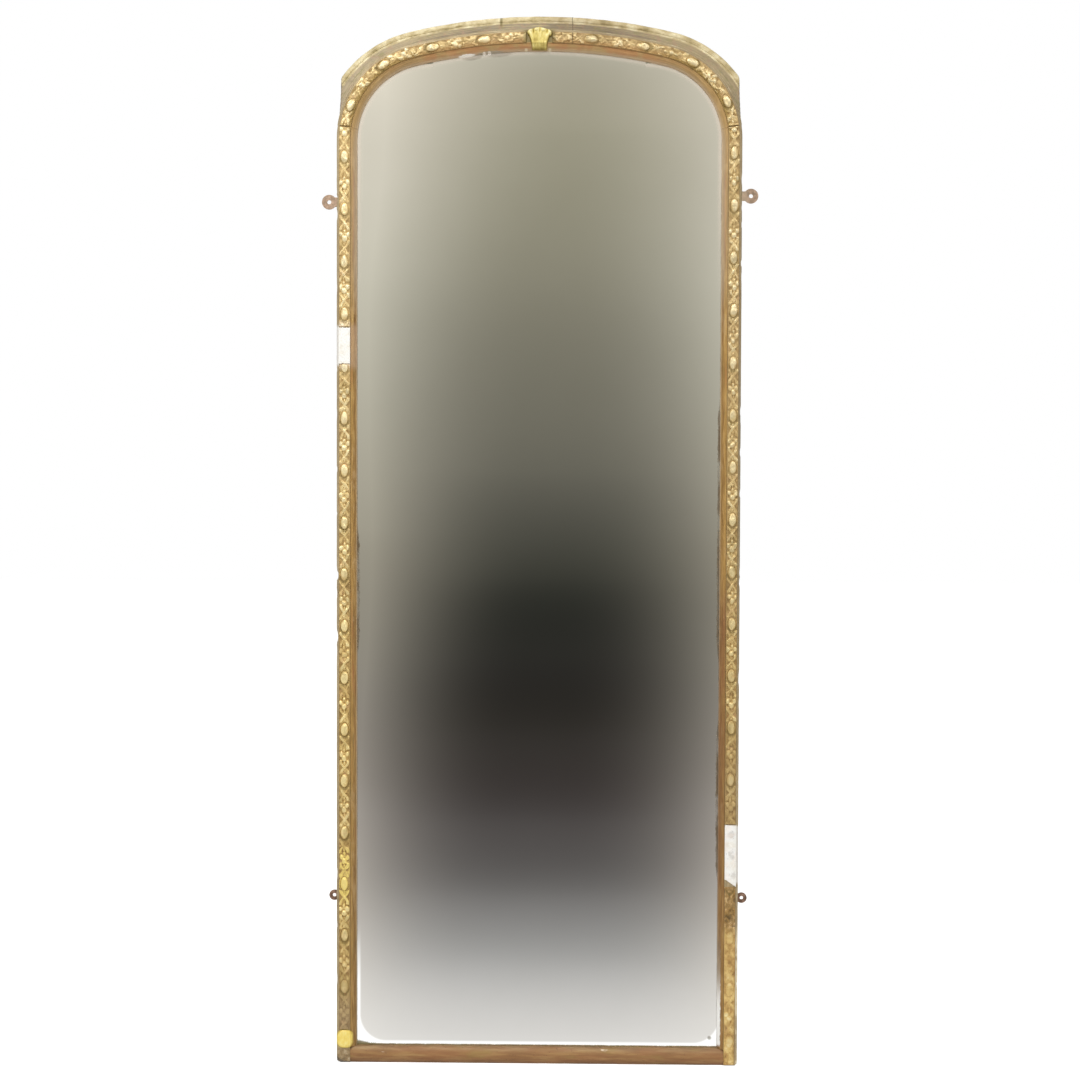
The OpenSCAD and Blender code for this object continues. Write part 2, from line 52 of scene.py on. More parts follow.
LOW, HIGH = 0, 1
X, Y, Z = 0, 1, 2
SIDES = ((-1, "left"), (1, "right"))


def side_of(node, end, axis):
    """The low or high side of a node's box along one axis, in millimetres."""
    return round(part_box(node)[end][axis] * 1000, 1)


HALF_W = side_of("stile_right", HIGH, X)
FRAME_H = side_of("cornice_right", HIGH, Z)
MID_LEVEL = side_of("stile_right", HIGH, Y)
SEAT = MID_LEVEL - side_of("stile_right", LOW, Y)
GLASS_FRONT = MID_LEVEL - side_of("mirror_plate", LOW, Y)
RAIL_H = side_of("bottom_rail", HIGH, Z)
CORNICE_OUT = FRAME_H - side_of("crown_leaf", LOW, Z)
BORDER = 33.5
SIGHT = HALF_W - BORDER
ORN_IN = side_of("ornament_right_lower", LOW, X) - SIGHT
ORN_OUT = side_of("ornament_right_lower", HIGH, X) - SIGHT
ORN_W = ORN_OUT - ORN_IN
ORN_MID = ORN_IN + ORN_W / 2
REBATE = 6.0
ARRIS_R = 4.5

# The arch has three centres: one for the crown and one for each shoulder.
CROWN_R = 900.0
SHOULDER_R = 127.0
SHOULDER_X = SIGHT - SHOULDER_R
TURN = math.asin(SHOULDER_X / (CROWN_R - SHOULDER_R))
CENTRE_DROP = math.sqrt((CROWN_R - SHOULDER_R) ** 2 - SHOULDER_X ** 2)
SPRING = FRAME_H - CORNICE_OUT - CROWN_R + CENTRE_DROP
CROWN_Y = SPRING - CENTRE_DROP
SHOULDER_ARC = (SHOULDER_R + ORN_MID) * (math.pi / 2 - TURN)
RUN_CROWN = SPRING + SHOULDER_ARC + (CROWN_R + ORN_MID) * TURN
JOINT_UP = 20.0
RUN_JOINT = SPRING + (SHOULDER_R + ORN_MID) * math.asin(JOINT_UP / (SHOULDER_R + ORN_MID))

# The ornament's repeat, its lowest bead, and how much higher the beads lie on the right.
REPEAT, FIRST_BEAD, RIGHT_LEAD = 87.0, 44.0, 6.0
BUTT = 0.5
BOSS = (26.0, 57.0)
FILL_L = tuple(side_of("plaster_fill_left", end, Z) for end in (LOW, HIGH))
FILL_R = tuple(side_of("plaster_fill_right", end, Z) for end in (LOW, HIGH))
CROWN_GAP = side_of("crown_leaf", HIGH, X) + 1.0

# Places on the front, in metres: x runs to the right and z upwards. ASIDE picks out the stiles and
# FLANK their outer sides; ARCH and CROWN are heights over which a look sets in.
ASIDE = 0.2
FLANK = (SIGHT + ORN_OUT) / 1000
ARCH = (1.50, 1.60)
CROWN = (1.69, 1.70)

# Marks that the photo shows. FOXED has the side and the heights of each foxed stretch, and SMUDGES
# the middle and the half width of each smudge.
CRACK_X = 0.0548
NOTCH_X = -0.0658
SLIT_Z = 0.238
SPECK = (0.2922, 0.0439)
LEAF_DOTS = (-0.0222, 0.0173)
FOXED = ((-1, 0.68, 0.92), (1, 0.67, 1.13), (1, 0.30, 0.59))
FOX_EASE = 0.05
SMUDGES = ((0.3252, 0.3925, 0.0085), (0.3240, 0.3607, 0.0058), (0.3282, 0.3540, 0.0058),
           (0.3300, 0.3240, 0.0070))


# ---- smooth random fields --------

CELLS = 256


def field(x, y, seed):
    """Smooth noise between 0 and 1 over two coordinates, one feature per unit."""
    table = np.random.RandomState(seed).rand(CELLS, CELLS)
    x, y = np.broadcast_arrays(np.asarray(x, float), np.asarray(y, float))
    xi, yi = np.floor(x).astype(int), np.floor(y).astype(int)
    fx, fy = x - xi, y - yi
    fx, fy = fx * fx * (3 - 2 * fx), fy * fy * (3 - 2 * fy)
    a, b, c, d = (table[(xi + i) % CELLS, (yi + j) % CELLS] for j in (0, 1) for i in (0, 1))
    return (a * (1 - fx) + b * fx) * (1 - fy) + (c * (1 - fx) + d * fx) * fy


def fractal(x, y, seed):
    """Three fields on top of each other, each half as strong and twice as fine as the last."""
    x, y = np.asarray(x), np.asarray(y)
    total = sum(0.5 ** k * field(x * 2 ** k + 31.7 * k, y * 2 ** k, seed + k) for k in range(3))
    return total / 1.75


def step(low, high, x):
    """Eased step from 0 at low to 1 at high."""
    t = np.clip((x - low) / (high - low), 0, 1)
    return t * t * (3 - 2 * t)


# ---- the path of the mouldings --------

def path(run):
    """Point on the sight line and outward direction at each run."""
    run = np.asarray(run, float)
    past = run - SPRING
    a1 = past / SHOULDER_ARC * (math.pi / 2 - TURN)
    a2 = math.pi / 2 - TURN + (past - SHOULDER_ARC) / (CROWN_R + ORN_MID)
    on_crown = past >= SHOULDER_ARC
    a = np.where(on_crown, a2, np.maximum(a1, 0))
    r = np.where(on_crown, CROWN_R, SHOULDER_R)
    cx = np.where(on_crown, 0.0, SHOULDER_X)
    cy = np.where(on_crown, CROWN_Y, SPRING)
    px, py = cx + r * np.cos(a), cy + r * np.sin(a)
    py = np.where(past < 0, run, py)
    return px, py, np.cos(a), np.sin(a)


def place(run, out, level, side):
    """Points in metres for runs (S) and sections (S, K); side is -1 for left and 1 for right."""
    px, py, nx, ny = (v[:, None] for v in path(run))
    return np.stack([side * (px + nx * out), MID_LEVEL - level, py + ny * out], -1) / 1000


def runs(low, high, pitch):
    return np.linspace(low, high, max(2, int(round((high - low) / pitch)) + 1))


def refine(points, pitch):
    """A closed section with its longer edges cut up."""
    done = []
    for a, b in zip(points, points[1:] + points[:1]):
        n = max(1, int(round(math.dist(a, b) / pitch)))
        done += [(a[0] + (b[0] - a[0]) * i / n, a[1] + (b[1] - a[1]) * i / n) for i in range(n)]
    return done


def arc(cx, cy, r, start, end, steps):
    turn = [math.radians(start + (end - start) * i / steps) for i in range(steps + 1)]
    return [(cx + r * math.cos(t), cy + r * math.sin(t)) for t in turn]


# ---- meshes --------

def make(name, verts, faces, attributes=None, sharp=40):
    """A mesh object, smooth up to an angle in degrees; with none it stays flat."""
    mesh = bpy.data.meshes.new(name)
    mesh.from_pydata([tuple(v) for v in verts], [], faces)
    for key, values in (attributes or {}).items():
        a = mesh.attributes.new(key, "FLOAT", "POINT")
        a.data.foreach_set("value", np.asarray(values, np.float32).ravel())
    mesh.update()
    if sharp:
        mesh.polygons.foreach_set("use_smooth", np.ones(len(mesh.polygons), bool))
        mesh.set_sharp_from_angle(angle=math.radians(sharp))
    obj = bpy.data.objects.new(name, mesh)
    bpy.context.scene.collection.objects.link(obj)
    return obj


def tube(name, grid, attributes=None, sharp=40):
    """A closed solid from a grid (stations, section points, 3), capped at both ends."""
    s, k, _ = grid.shape
    i, j = np.meshgrid(np.arange(s - 1), np.arange(k), indexing="ij")
    a, b = i * k + j, i * k + (j + 1) % k
    quads = np.stack([a, b, b + k, a + k], -1).reshape(-1, 4)
    caps = [list(range(k))[::-1], list(range((s - 1) * k, s * k))]
    v = grid.reshape(-1, 3)
    tri = np.concatenate([quads[:, [0, 1, 2]], quads[:, [0, 2, 3]]])
    volume = np.einsum("ij,ij->i", v[tri[:, 0]], np.cross(v[tri[:, 1]], v[tri[:, 2]])).sum()
    faces = quads.tolist() + caps
    if volume < 0:
        faces = [f[::-1] for f in faces]
    return make(name, v, faces, attributes, sharp)


def dress(piece, material, slot, node):
    """Gives a new piece its finish, and lets it stand for a node of the CAD."""
    piece.data.materials.append(material)
    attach(piece, "root")
    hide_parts(node)


# ---- materials --------

def rgb(colour):
    """Linear RGBA of an sRGB colour in 0 to 255; anything but three numbers stays as it is."""
    if not isinstance(colour, tuple) or len(colour) != 3:
        return colour
    c = [v / 255 for v in colour]
    return tuple(v / 12.92 if v <= 0.04045 else ((v + 0.055) / 1.055) ** 2.4 for v in c) + (1.0,)


def operator(kind, swapped=False):
    """A method of Value that adds one Math node."""
    def method(value, other=None):
        a, b = (other, value) if swapped else (value, other)
        return value.tree.math(kind, a, b)

    return method


class Value:
    """A node's output to calculate with: every operator adds one Math node to its tree."""

    def __init__(self, tree, socket):
        self.tree, self.socket = tree, socket

    __add__, __radd__ = operator("ADD"), operator("ADD", True)
    __sub__, __rsub__ = operator("SUBTRACT"), operator("SUBTRACT", True)
    __mul__, __truediv__, __pow__ = operator("MULTIPLY"), operator("DIVIDE"), operator("POWER")
    __gt__, __lt__, __abs__ = operator("GREATER_THAN"), operator("LESS_THAN"), operator("ABSOLUTE")


class Tree:
    """Builds one node tree. An argument may be a number, an sRGB colour or another node's value.

    It keeps a colour of its own, which coat and patches change and surface uses at the end."""

    def __init__(self, owner):
        owner.use_nodes = True
        self.owner, self.nt, self.coordinates, self.colour = owner, owner.node_tree, None, None
        self.nt.nodes.clear()

    def node(self, kind, inputs, **settings):
        n = self.nt.nodes.new("ShaderNode" + kind)
        for key, value in settings.items():
            setattr(n, key, value)
        for key, value in inputs.items():
            if isinstance(value, Value):
                self.nt.links.new(value.socket, n.inputs[key])
            elif value is not None:
                n.inputs[key].default_value = rgb(value) if n.inputs[key].type == "RGBA" else value
        return n

    def add(self, kind, inputs, output=0, **settings):
        return Value(self, self.node(kind, inputs, **settings).outputs[output])

    def math(self, operation, a, b=None):
        return self.add("Math", {0: a, 1: b}, operation=operation)

    def max(self, *values):
        return reduce(lambda a, b: self.math("MAXIMUM", a, b), values)

    def min(self, *values):
        return reduce(lambda a, b: self.math("MINIMUM", a, b), values)

    def root(self, a):
        return self.math("SQRT", a)

    def span(self, value, low, high, to_low, to_high):
        """Eased step from to_low to to_high, while the value goes from low to high."""
        return self.add("MapRange", dict(enumerate((value, low, high, to_low, to_high))),
                        interpolation_type="SMOOTHSTEP")

    def rise(self, value, low, high):
        return self.span(value, low, high, 0.0, 1.0)

    def fall(self, value, low, high):
        return self.span(value, low, high, 1.0, 0.0)

    def between(self, value, a, b, c, d):
        """1 from b to c, easing to 0 at a and d."""
        return self.rise(value, a, b) * self.fall(value, c, d)

    def mix(self, share, a, b):
        return self.add("Mix", {"Factor": share, 6: a, 7: b}, 2, data_type="RGBA")

    def coat(self, share, colour):
        """Lays another colour over the tree's own, by a share from 0 to 1."""
        self.colour = self.mix(share, self.colour, colour)

    def ramp(self, value, stops, ease="LINEAR"):
        """A colour for each value; a stop is its place, then its red, green and blue."""
        n = self.node("ValToRGB", {0: value})
        n.color_ramp.interpolation = ease
        elements = n.color_ramp.elements
        while len(elements) < len(stops):
            elements.new(0.5)
        for e, (at, *colour) in zip(elements, stops):
            e.position, e.color = at, rgb(tuple(colour))
        return Value(self, n.outputs[0])

    def noise(self, vector, scale, detail=3.0, rough=0.55, distort=0.0):
        """Noise over a vector, or over the object's coordinates stretched by three factors."""
        if isinstance(vector, tuple):
            vector = self.add("Mapping", {"Vector": self.coordinates, "Scale": vector})
        return self.add("TexNoise", {"Vector": vector, "Scale": scale, "Detail": detail,
                                     "Roughness": rough, "Distortion": distort})

    def cells(self, vector, scale):
        return self.add("TexVoronoi", {"Vector": vector, "Scale": scale}, "Distance")

    def attribute(self, name):
        return self.add("Attribute", {}, "Fac", attribute_name=name)

    def axes(self, vector):
        return [Value(self, o) for o in self.node("SeparateXYZ", {0: vector}).outputs]

    def patches(self, share, colour, low, high, *noise):
        """Coats where a noise, given as in noise, goes from low to high."""
        self.coat(self.rise(self.noise(*noise), low, high) * share, colour)

    def bump(self, height, distance, strength):
        return self.add("Bump", {"Strength": strength, "Distance": distance, "Height": height})

    def shader(self, colour, rough, normal, metallic=0.0, specular=0.5):
        return self.add("BsdfPrincipled", {"Base Color": colour, "Roughness": rough, "Normal": normal,
                                           "Metallic": metallic, "Specular IOR Level": specular})

    def finish(self, shader, kind="Material"):
        self.node("Output" + kind, {"Surface": shader})
        return self.owner

    def surface(self, *look):
        """Ends the tree with its own colour; look is as in shader."""
        return self.finish(self.shader(self.colour, *look))


def new_finish(name):
    """A material's tree, and its coordinates: the place on the object in metres."""
    t = Tree(bpy.data.materials.new(name))
    t.coordinates = t.add("TexCoord", {}, "Object")
    return t, t.coordinates


def moulded(t, along=18.0, across=160.0):
    """Coordinates that follow a moulding, stretched along it, in features per metre."""
    return t.add("CombineXYZ", {0: t.attribute("run") * along, 1: t.attribute("out") * across,
                                2: t.attribute("lev") * across})


def along_fill(t, z, fill, a, b, c, d):
    """1 beside a plaster fill: a and b are millimetres up from its low end, c and d from its high end."""
    low, high = fill
    return t.between(z, *(up / 1000 for up in (low + a, low + b, high + c, high + d)))


def crown_crack(t, p):
    """Crack through cornice and ornament, to the right of the crown."""
    x, y, z = t.axes(p)
    off = abs(x - CRACK_X + (t.noise(p, 110, 2) - 0.5) * 0.006)
    return t.fall(off, 0.0003, 0.0011) * t.rise(z, 1.705, 1.709)


def gilt_ornament(name):
    """Gold on the cast ornament: pale on its high spots as painted highlight, brown in its ground as dirt and
    painted shade, with the photo's marks.
    """
    t, p = new_finish(name)
    relief = t.attribute("relief")
    grain = t.noise(p, 900, 4, 0.6)
    patch = t.noise(p, 90, 3, 0.6)
    reach = t.noise((1, 1, 0.6), 34, 3, 0.6)
    tone = relief + (grain - 0.5) * 0.35 + (patch - 0.5) * 0.55 + (reach - 0.5) * 0.45
    x, y, z = t.axes(p)
    # By relief: painted highlight on the high spots, dirt and painted shade in the ground.
    gold = t.ramp(tone, [(0.04, 142, 114, 64), (0.22, 182, 150, 94), (0.42, 212, 181, 120),
                         (0.64, 236, 210, 150), (0.88, 252, 236, 190)])
    low_gold = t.ramp(tone, [(0.04, 128, 99, 46), (0.22, 164, 130, 68), (0.42, 194, 160, 92),
                             (0.64, 224, 194, 124), (0.88, 250, 228, 162)])
    gold = t.mix(t.fall(z, 0.50, 1.35), gold, low_gold)
    old = t.ramp(tone, [(0.04, 122, 99, 64), (0.26, 152, 127, 88), (0.50, 182, 156, 112),
                        (0.90, 218, 194, 150)])
    t.colour = t.mix(t.attribute("worn"), gold, old)
    t.patches(0.38, (150, 126, 66), 0.50, 0.68, (1, 1, 0.5), 46, 3, 0.6)
    t.patches(0.30, (232, 188, 140), 0.56, 0.70, p, 62, 3, 0.6)
    ornament_marks(t, p, x, z, relief, tone)
    bole = t.rise(t.noise(p, 240, 3, 0.6), 0.60, 0.70)
    t.coat(bole * t.fall(relief, 0.30, 0.62) * 0.45, (168, 108, 62))
    t.coat(t.fall(t.cells(p, 420), 0.06, 0.14) * 0.35, (96, 76, 42))
    height = grain * 0.6 + t.noise(p, 2200, 2, 0.5)
    return t.surface(t.span(tone, 0.2, 0.9, 0.62, 0.36), t.bump(height, 0.0004, 0.5),
                     t.rise(tone, 0.25, 0.75) * 0.45)


def ornament_marks(t, p, x, z, relief, tone):
    """What the photo shows on the ornament in its place: paint, painted shade on its right half, its outer
    edge, the arch's inner side and beside the crown leaf, painted shadows under the beads, plaster, cracks
    and a bright bead.
    """
    gold_paint_and_shade = t.ramp(relief * 0.5 + t.noise(p, 70, 4, 0.6) * 0.75,
                   [(0.34, 142, 106, 54), (0.48, 196, 156, 90), (0.62, 228, 196, 124),
                    (0.80, 250, 232, 178)])
    # Painted shade on the outer edge of the right stile's paint, strongest low down.
    gold_paint_and_shade = t.mix(t.rise(x, 0.3285, FLANK) * t.span(z, 0.06, 0.14, 0.55, 0.15), gold_paint_and_shade, (136, 112, 70))
    shade = t.span(x, -0.02, 0.06, 0.0, 0.22) * t.rise(z, 0.30, 0.40)
    t.coat(shade, (136, 108, 66))
    # Painted shade on the inner, lower side of the arch's ornament.
    under = t.rise(t.attribute("inner"), 0.0, 0.75) * t.rise(z, 1.52, 1.60)
    under *= t.span(tone, 0.35, 0.85, 0.85, 0.45)
    t.coat(under, t.mix(t.rise(abs(x), 0.16, 0.26), (166, 128, 74), (150, 120, 54)))
    brown = (x > ASIDE) * t.fall(z, FILL_R[0] / 1000, (FILL_R[0] + 2) / 1000)
    brown *= t.span(t.noise(p, 80, 4, 0.6), 0.36, 0.60, 0.90, 0.55)
    spots = t.noise((1.2, 1, 0.8), 105, 5, 0.68)
    t.coat(brown, t.ramp(spots, [(0.38, 96, 70, 22), (0.47, 150, 112, 46), (0.54, 180, 138, 76),
                                 (0.61, 240, 206, 150)]))
    # Painted shadow in a dark crescent under each bead.
    t.coat(t.attribute("grime") * 0.72, (112, 92, 38))
    t.coat(t.attribute("smear"), gold_paint_and_shade)
    near_fill = t.fall(abs(z - sum(FILL_L) / 2000), 0.0320, 0.0440) * (x < -ASIDE)
    near_fill *= t.span(t.noise(p, 110, 3), 0.36, 0.56, 0.15, 0.85)
    t.coat(near_fill, (253, 234, 204))
    slit = t.fall(abs(z - SLIT_Z), 0.0006, 0.0018) * t.rise(x, 0.325, 0.329)
    t.coat(slit * 0.7, (104, 80, 48))
    # Painted shadow on the ornament beside the crown leaf.
    leaf_shadow = t.fall(abs(x), 0.0220, 0.0300) * t.rise(z, 1.60, 1.62)
    t.coat(leaf_shadow * 0.75, (112, 98, 46))
    bright = t.between(z, 0.26, 0.29, 0.35, 0.38) * (x < 0.0) * t.rise(tone, 0.3, 0.6)
    t.coat(bright * 0.6, (250, 226, 120))
    t.coat(crown_crack(t, p) * 0.85, (92, 74, 44))


def rubbed_gilding(name, stops, bole_share, dirt_share):
    """Gilding on a plain moulding: stops are the tones from hollow to worn high spot."""
    t, p = new_finish(name)
    m = moulded(t)
    streak = t.noise(m, 1.0, 5, 0.62)
    fine = t.noise(moulded(t, 90, 500), 1.0, 4, 0.6)
    spots = t.noise(p, 260, 4, 0.65)
    tone = streak * 0.55 + fine * 0.45
    t.colour = t.ramp(tone, stops)
    bole = t.rise(t.noise(m, 2.6, 4, 0.65), 0.66 - bole_share, 0.74 - bole_share)
    t.coat(bole * 0.7, (150, 92, 52))
    dirt = t.rise(spots, 0.70 - dirt_share, 0.80 - dirt_share)
    t.coat(dirt * 0.75, (88, 72, 46))
    chip = t.fall(t.cells(p, 150), 0.05, 0.10) * t.rise(t.noise(p, 37, 2), 0.55, 0.62)
    t.coat(chip, (222, 205, 176))
    gilding_marks(t, p, fine, spots)
    height = spots * 1.2 + fine
    return t.surface(t.span(tone, 0.2, 0.8, 0.70, 0.42), t.bump(height, 0.0005, 0.55),
                     t.rise(tone, 0.35, 0.8) * 0.25)


def gilding_marks(t, p, fine, spots):
    """What the photo shows on the plain gilding in its place: shade, painted shadow beside the crown leaf,
    painted light on the arch's inner wall, a grey foot, bare wood and chalk.
    """
    x, y, z = t.axes(p)
    shade = t.span(x, 0.0, 0.1, 0.0, 0.34) * t.rise(z, 0.45, 0.70)
    t.coat(shade, (96, 78, 48))
    # Painted shadow on the gilding beside the crown leaf.
    leaf_shadow = t.fall(abs(x), 0.0205, 0.0300) * t.rise(z, *CROWN)
    t.coat(leaf_shadow * 0.75, (112, 97, 40))
    # Painted light on the inner wall of the arch's core, which faces down into shade.
    lit_arch_wall = t.fall(t.attribute("out"), 0.0108, 0.0115) * t.rise(z, *ARCH)
    t.coat(lit_arch_wall * 0.7, (204, 158, 98))
    foot = t.fall(x, -0.31, -0.30) * t.fall(z, 0.022, 0.029)
    grey = t.ramp(t.noise(p, 150, 4, 0.6), [(0.34, 106, 86, 58), (0.52, 154, 127, 88),
                                            (0.68, 188, 168, 136)])
    t.coat(foot * 0.85, grey)
    rim = z + x * 0.8 + 0.26
    rim = t.max(t.span(rim, 0.0, 0.005, 0.75, 0.0), t.span(z, 0.001, 0.0045, 0.5, 0.0))
    rim *= t.span(y, -0.015, 0.005, 1.0, 0.2)
    t.coat(foot * rim, (70, 62, 54))
    bare = t.rise(x, FLANK, 0.3350) * t.fall(z, 0.210, 0.245)
    bare *= t.rise(t.noise((1, 1, 0.5), 120, 4, 0.6), t.span(z, 0.07, 0.13, 0.50, 0.34),
                   t.span(z, 0.07, 0.13, 0.60, 0.48))
    t.coat(bare, t.mix(fine, (206, 186, 140), (250, 240, 214)))
    chalk = t.max((x < -FLANK) * along_fill(t, z, FILL_L, -6.5, 1.5, -2.5, 5.5),
                  (x > FLANK) * along_fill(t, z, FILL_R, 2, 10, -5, 1))
    chalk *= t.span(y + spots * 0.010, -0.019, -0.012, 0.80, 0.0)
    t.coat(chalk, (238, 236, 232))


def cornice_finish(name):
    """Greenish-brown grime in the hollow, rubbed gilding on its two edges."""
    t, p = new_finish(name)
    x, y, z = t.axes(p)
    out = t.attribute("out")
    streak = t.noise(moulded(t, 30, 260), 1.0, 5, 0.65)
    blot = t.noise(p, 70, 5, 0.62, 0.6)
    t.colour = t.ramp(streak, [(0.25, 108, 95, 76), (0.43, 140, 126, 102), (0.60, 164, 149, 121),
                               (0.80, 192, 174, 138)])
    t.coat(t.rise(blot, 0.50, 0.64) * 0.55, (140, 132, 114))
    t.patches(0.5, (182, 156, 104), 0.56, 0.66, p, 130, 4, 0.6)
    lines = t.noise(moulded(t, 7, 150), 1.0, 4, 0.6)
    shoulder = t.span(abs(x), 0.15, 0.25, 0.0, 0.50) * t.span(lines, 0.36, 0.58, 0.28, 1.0)
    t.coat(shoulder, t.mix(t.rise(x, -0.1, 0.1), (214, 194, 158), (202, 180, 134)))
    t.patches(0.40, (124, 114, 84), 0.54, 0.66, p, 64, 5, 0.66)
    aside = t.span(abs(x), 0.06, 0.14, 0.0, 0.26) * t.span(abs(x), 0.24, 0.29, 1.0, 0.25)
    t.coat(aside, (122, 104, 82))
    t.patches(0.48, (210, 192, 140), 0.50, 0.62, moulded(t, 10, 300), 1.0, 4, 0.66)
    t.patches(0.42, (178, 142, 118), 0.53, 0.62, (1.4, 1, 1.2), 52, 5, 0.68)
    t.patches(0.45, (138, 134, 84), 0.55, 0.64, (1.2, 1, 1.5), 44, 5, 0.68)
    dusk = t.rise(x, -0.01, 0.03) * t.span(x, 0.06, 0.22, 1.0, 0.45)
    t.coat(dusk * 0.42, (96, 76, 52))
    gilt = t.ramp(streak * 0.22 + t.noise(p, 48, 4, 0.55) * 0.78,
                  [(0.36, 160, 144, 98), (0.45, 194, 176, 128), (0.53, 216, 200, 156),
                   (0.64, 244, 234, 194)])
    gilt = t.mix(dusk * 0.30, gilt, (128, 98, 62))
    edge = t.max(t.rise(out, 0.0575, 0.0605), t.rise(out, 0.0355, 0.0342))
    t.coat(edge, gilt)
    crack = t.fall(t.cells(p, 60), 0.02, 0.05)
    t.coat(crack * 0.6, (72, 58, 38))
    t.coat(crown_crack(t, p) * 0.8, (88, 72, 48))
    notch = t.fall(abs(x - NOTCH_X), 0.0008, 0.0034) * t.rise(out, 0.052, 0.058)
    t.coat(notch * 0.75, (112, 98, 44))
    wood = t.ramp(t.noise((60, 60, 9), 8.0, 5, 0.6), [(0.3, 86, 70, 54), (0.7, 128, 108, 84)])
    t.coat(t.attribute("cut"), wood)
    height = streak + blot * 1.5
    return t.surface(t.span(edge, 0.0, 1.0, 0.72, 0.48), t.bump(height, 0.0008, 0.6))


def slip_finish(name):
    """Copper-brown rubbed bole with streaks of gold, paler where it meets the glass."""
    t, p = new_finish(name)
    x, y, z = t.axes(p)
    out = t.attribute("out")
    streak = t.noise(moulded(t, 26, 420), 1.0, 5, 0.62)
    t.colour = t.ramp(streak, [(0.25, 102, 72, 30), (0.42, 146, 108, 50), (0.58, 180, 140, 76),
                               (0.78, 224, 190, 126)])
    t.patches(0.45, (120, 80, 34), 0.54, 0.66, moulded(t, 13, 90), 1.0, 4, 0.62)
    t.patches(0.40, (206, 172, 122), 0.55, 0.66, (1, 1, 0.35), 60, 4, 0.6)
    t.patches(0.5, (168, 106, 64), 0.54, 0.68, moulded(t, 9, 120), 1.0, 4, 0.6)
    low_side = t.rise(out, 0.0015, 0.0085)
    # Painted shade on the lower side of the slip's slope, and a painted highlight along its upper side.
    t.coat(t.fall(low_side, 0.0, 0.7) * 0.30, (118, 88, 44))
    t.coat(t.rise(low_side, 0.5, 1.0) * 0.30, (188, 150, 80))
    t.patches(0.5, (120, 108, 64), 0.60, 0.70, moulded(t, 14, 200), 1.0, 4, 0.6)
    up = t.rise(z, *ARCH)
    middle = t.fall(abs(x), 0.17, 0.25)
    copper = t.rise(t.noise(p, 26, 3, 0.6), 0.42, 0.58) * middle
    t.coat(up * t.span(middle, 0.0, 1.0, 0.32, 0.50), t.mix(copper, (196, 164, 108), (204, 140, 90)))
    pale = t.rise(z, 1.24, 1.34) * t.span(z, 1.53, 1.60, 1.0, 0.25)
    t.coat(pale * t.span(low_side, 0.0, 1.0, 0.50, 0.22), (196, 178, 152))
    lip = t.fall(out, 0.0004, 0.0018 + up * 0.0022)
    t.coat(lip * 0.7, (196, 172, 138))
    # Painted shade, broken by streaks, in the crease beside the ornament.
    crease_shade = t.rise(out, 0.0086, 0.0096) * t.rise(streak, 0.54, 0.66) * (1.0 - up)
    t.coat(crease_shade * 0.5, (118, 100, 54))
    t.coat(t.span(z, 0.05, 0.9, 0.16, 0.0), (96, 80, 56))
    slip_marks(t, p, x, z, out)
    height = streak + t.noise(p, 500, 3)
    return t.surface(t.span(streak, 0.3, 0.8, 0.62, 0.42), t.bump(height, 0.0004, 0.5), 0.1)


def slip_marks(t, p, x, z, out):
    """What the photo shows on the slip in its place: raw wood, gold dots, chips and chalk."""
    raw = (x > ASIDE) * t.fall(z, 0.75, 0.85)
    raw *= t.span(t.noise(moulded(t, 12, 60), 1.0, 3, 0.6), 0.30, 0.60, 0.22, 0.60)
    raw *= t.span(z, 0.28, 0.32, 0.5, 1.0)
    t.coat(raw, (122, 78, 42))
    beside = (x < -ASIDE) * along_fill(t, z, FILL_L, -13.5, 1.5, -2.5, 11.5)
    t.coat(beside * 0.45, (190, 160, 134))
    lip = t.rise(z, *CROWN) * t.fall(out, 0.0024, 0.0040)
    for at in LEAF_DOTS:
        t.coat(t.fall(abs(x - at), 0.0016, 0.0030) * lip * 0.7, (232, 216, 180))
    rag = out + (t.noise(p, 180, 3) - 0.5) * 0.0030
    for at, half, deep, tone in (
            (-0.082, 0.022, 0.0026, (164, 152, 130)), (-0.121, 0.014, 0.0020, (255, 250, 240)),
            (-0.0925, 0.0024, 0.0026, (230, 218, 200)), (-0.0835, 0.0028, 0.0026, (230, 218, 200))):
        far = ((x - at) / half) ** 2.0 + (rag / deep) ** 2.0
        chip = t.span(far, 0.6, 1.3, 0.9, 0.0) * t.rise(z, 1.66, 1.67)
        t.coat(chip, tone)
    chalky = (x > ASIDE) * t.fall(z, 0.07, 0.26) * t.fall(rag, 0.0042, 0.0056) * t.rise(z, 0.030, 0.036)
    t.coat(chalky * 0.95, t.mix(t.rise(z, 0.10, 0.17), (255, 255, 252), (176, 166, 152)))


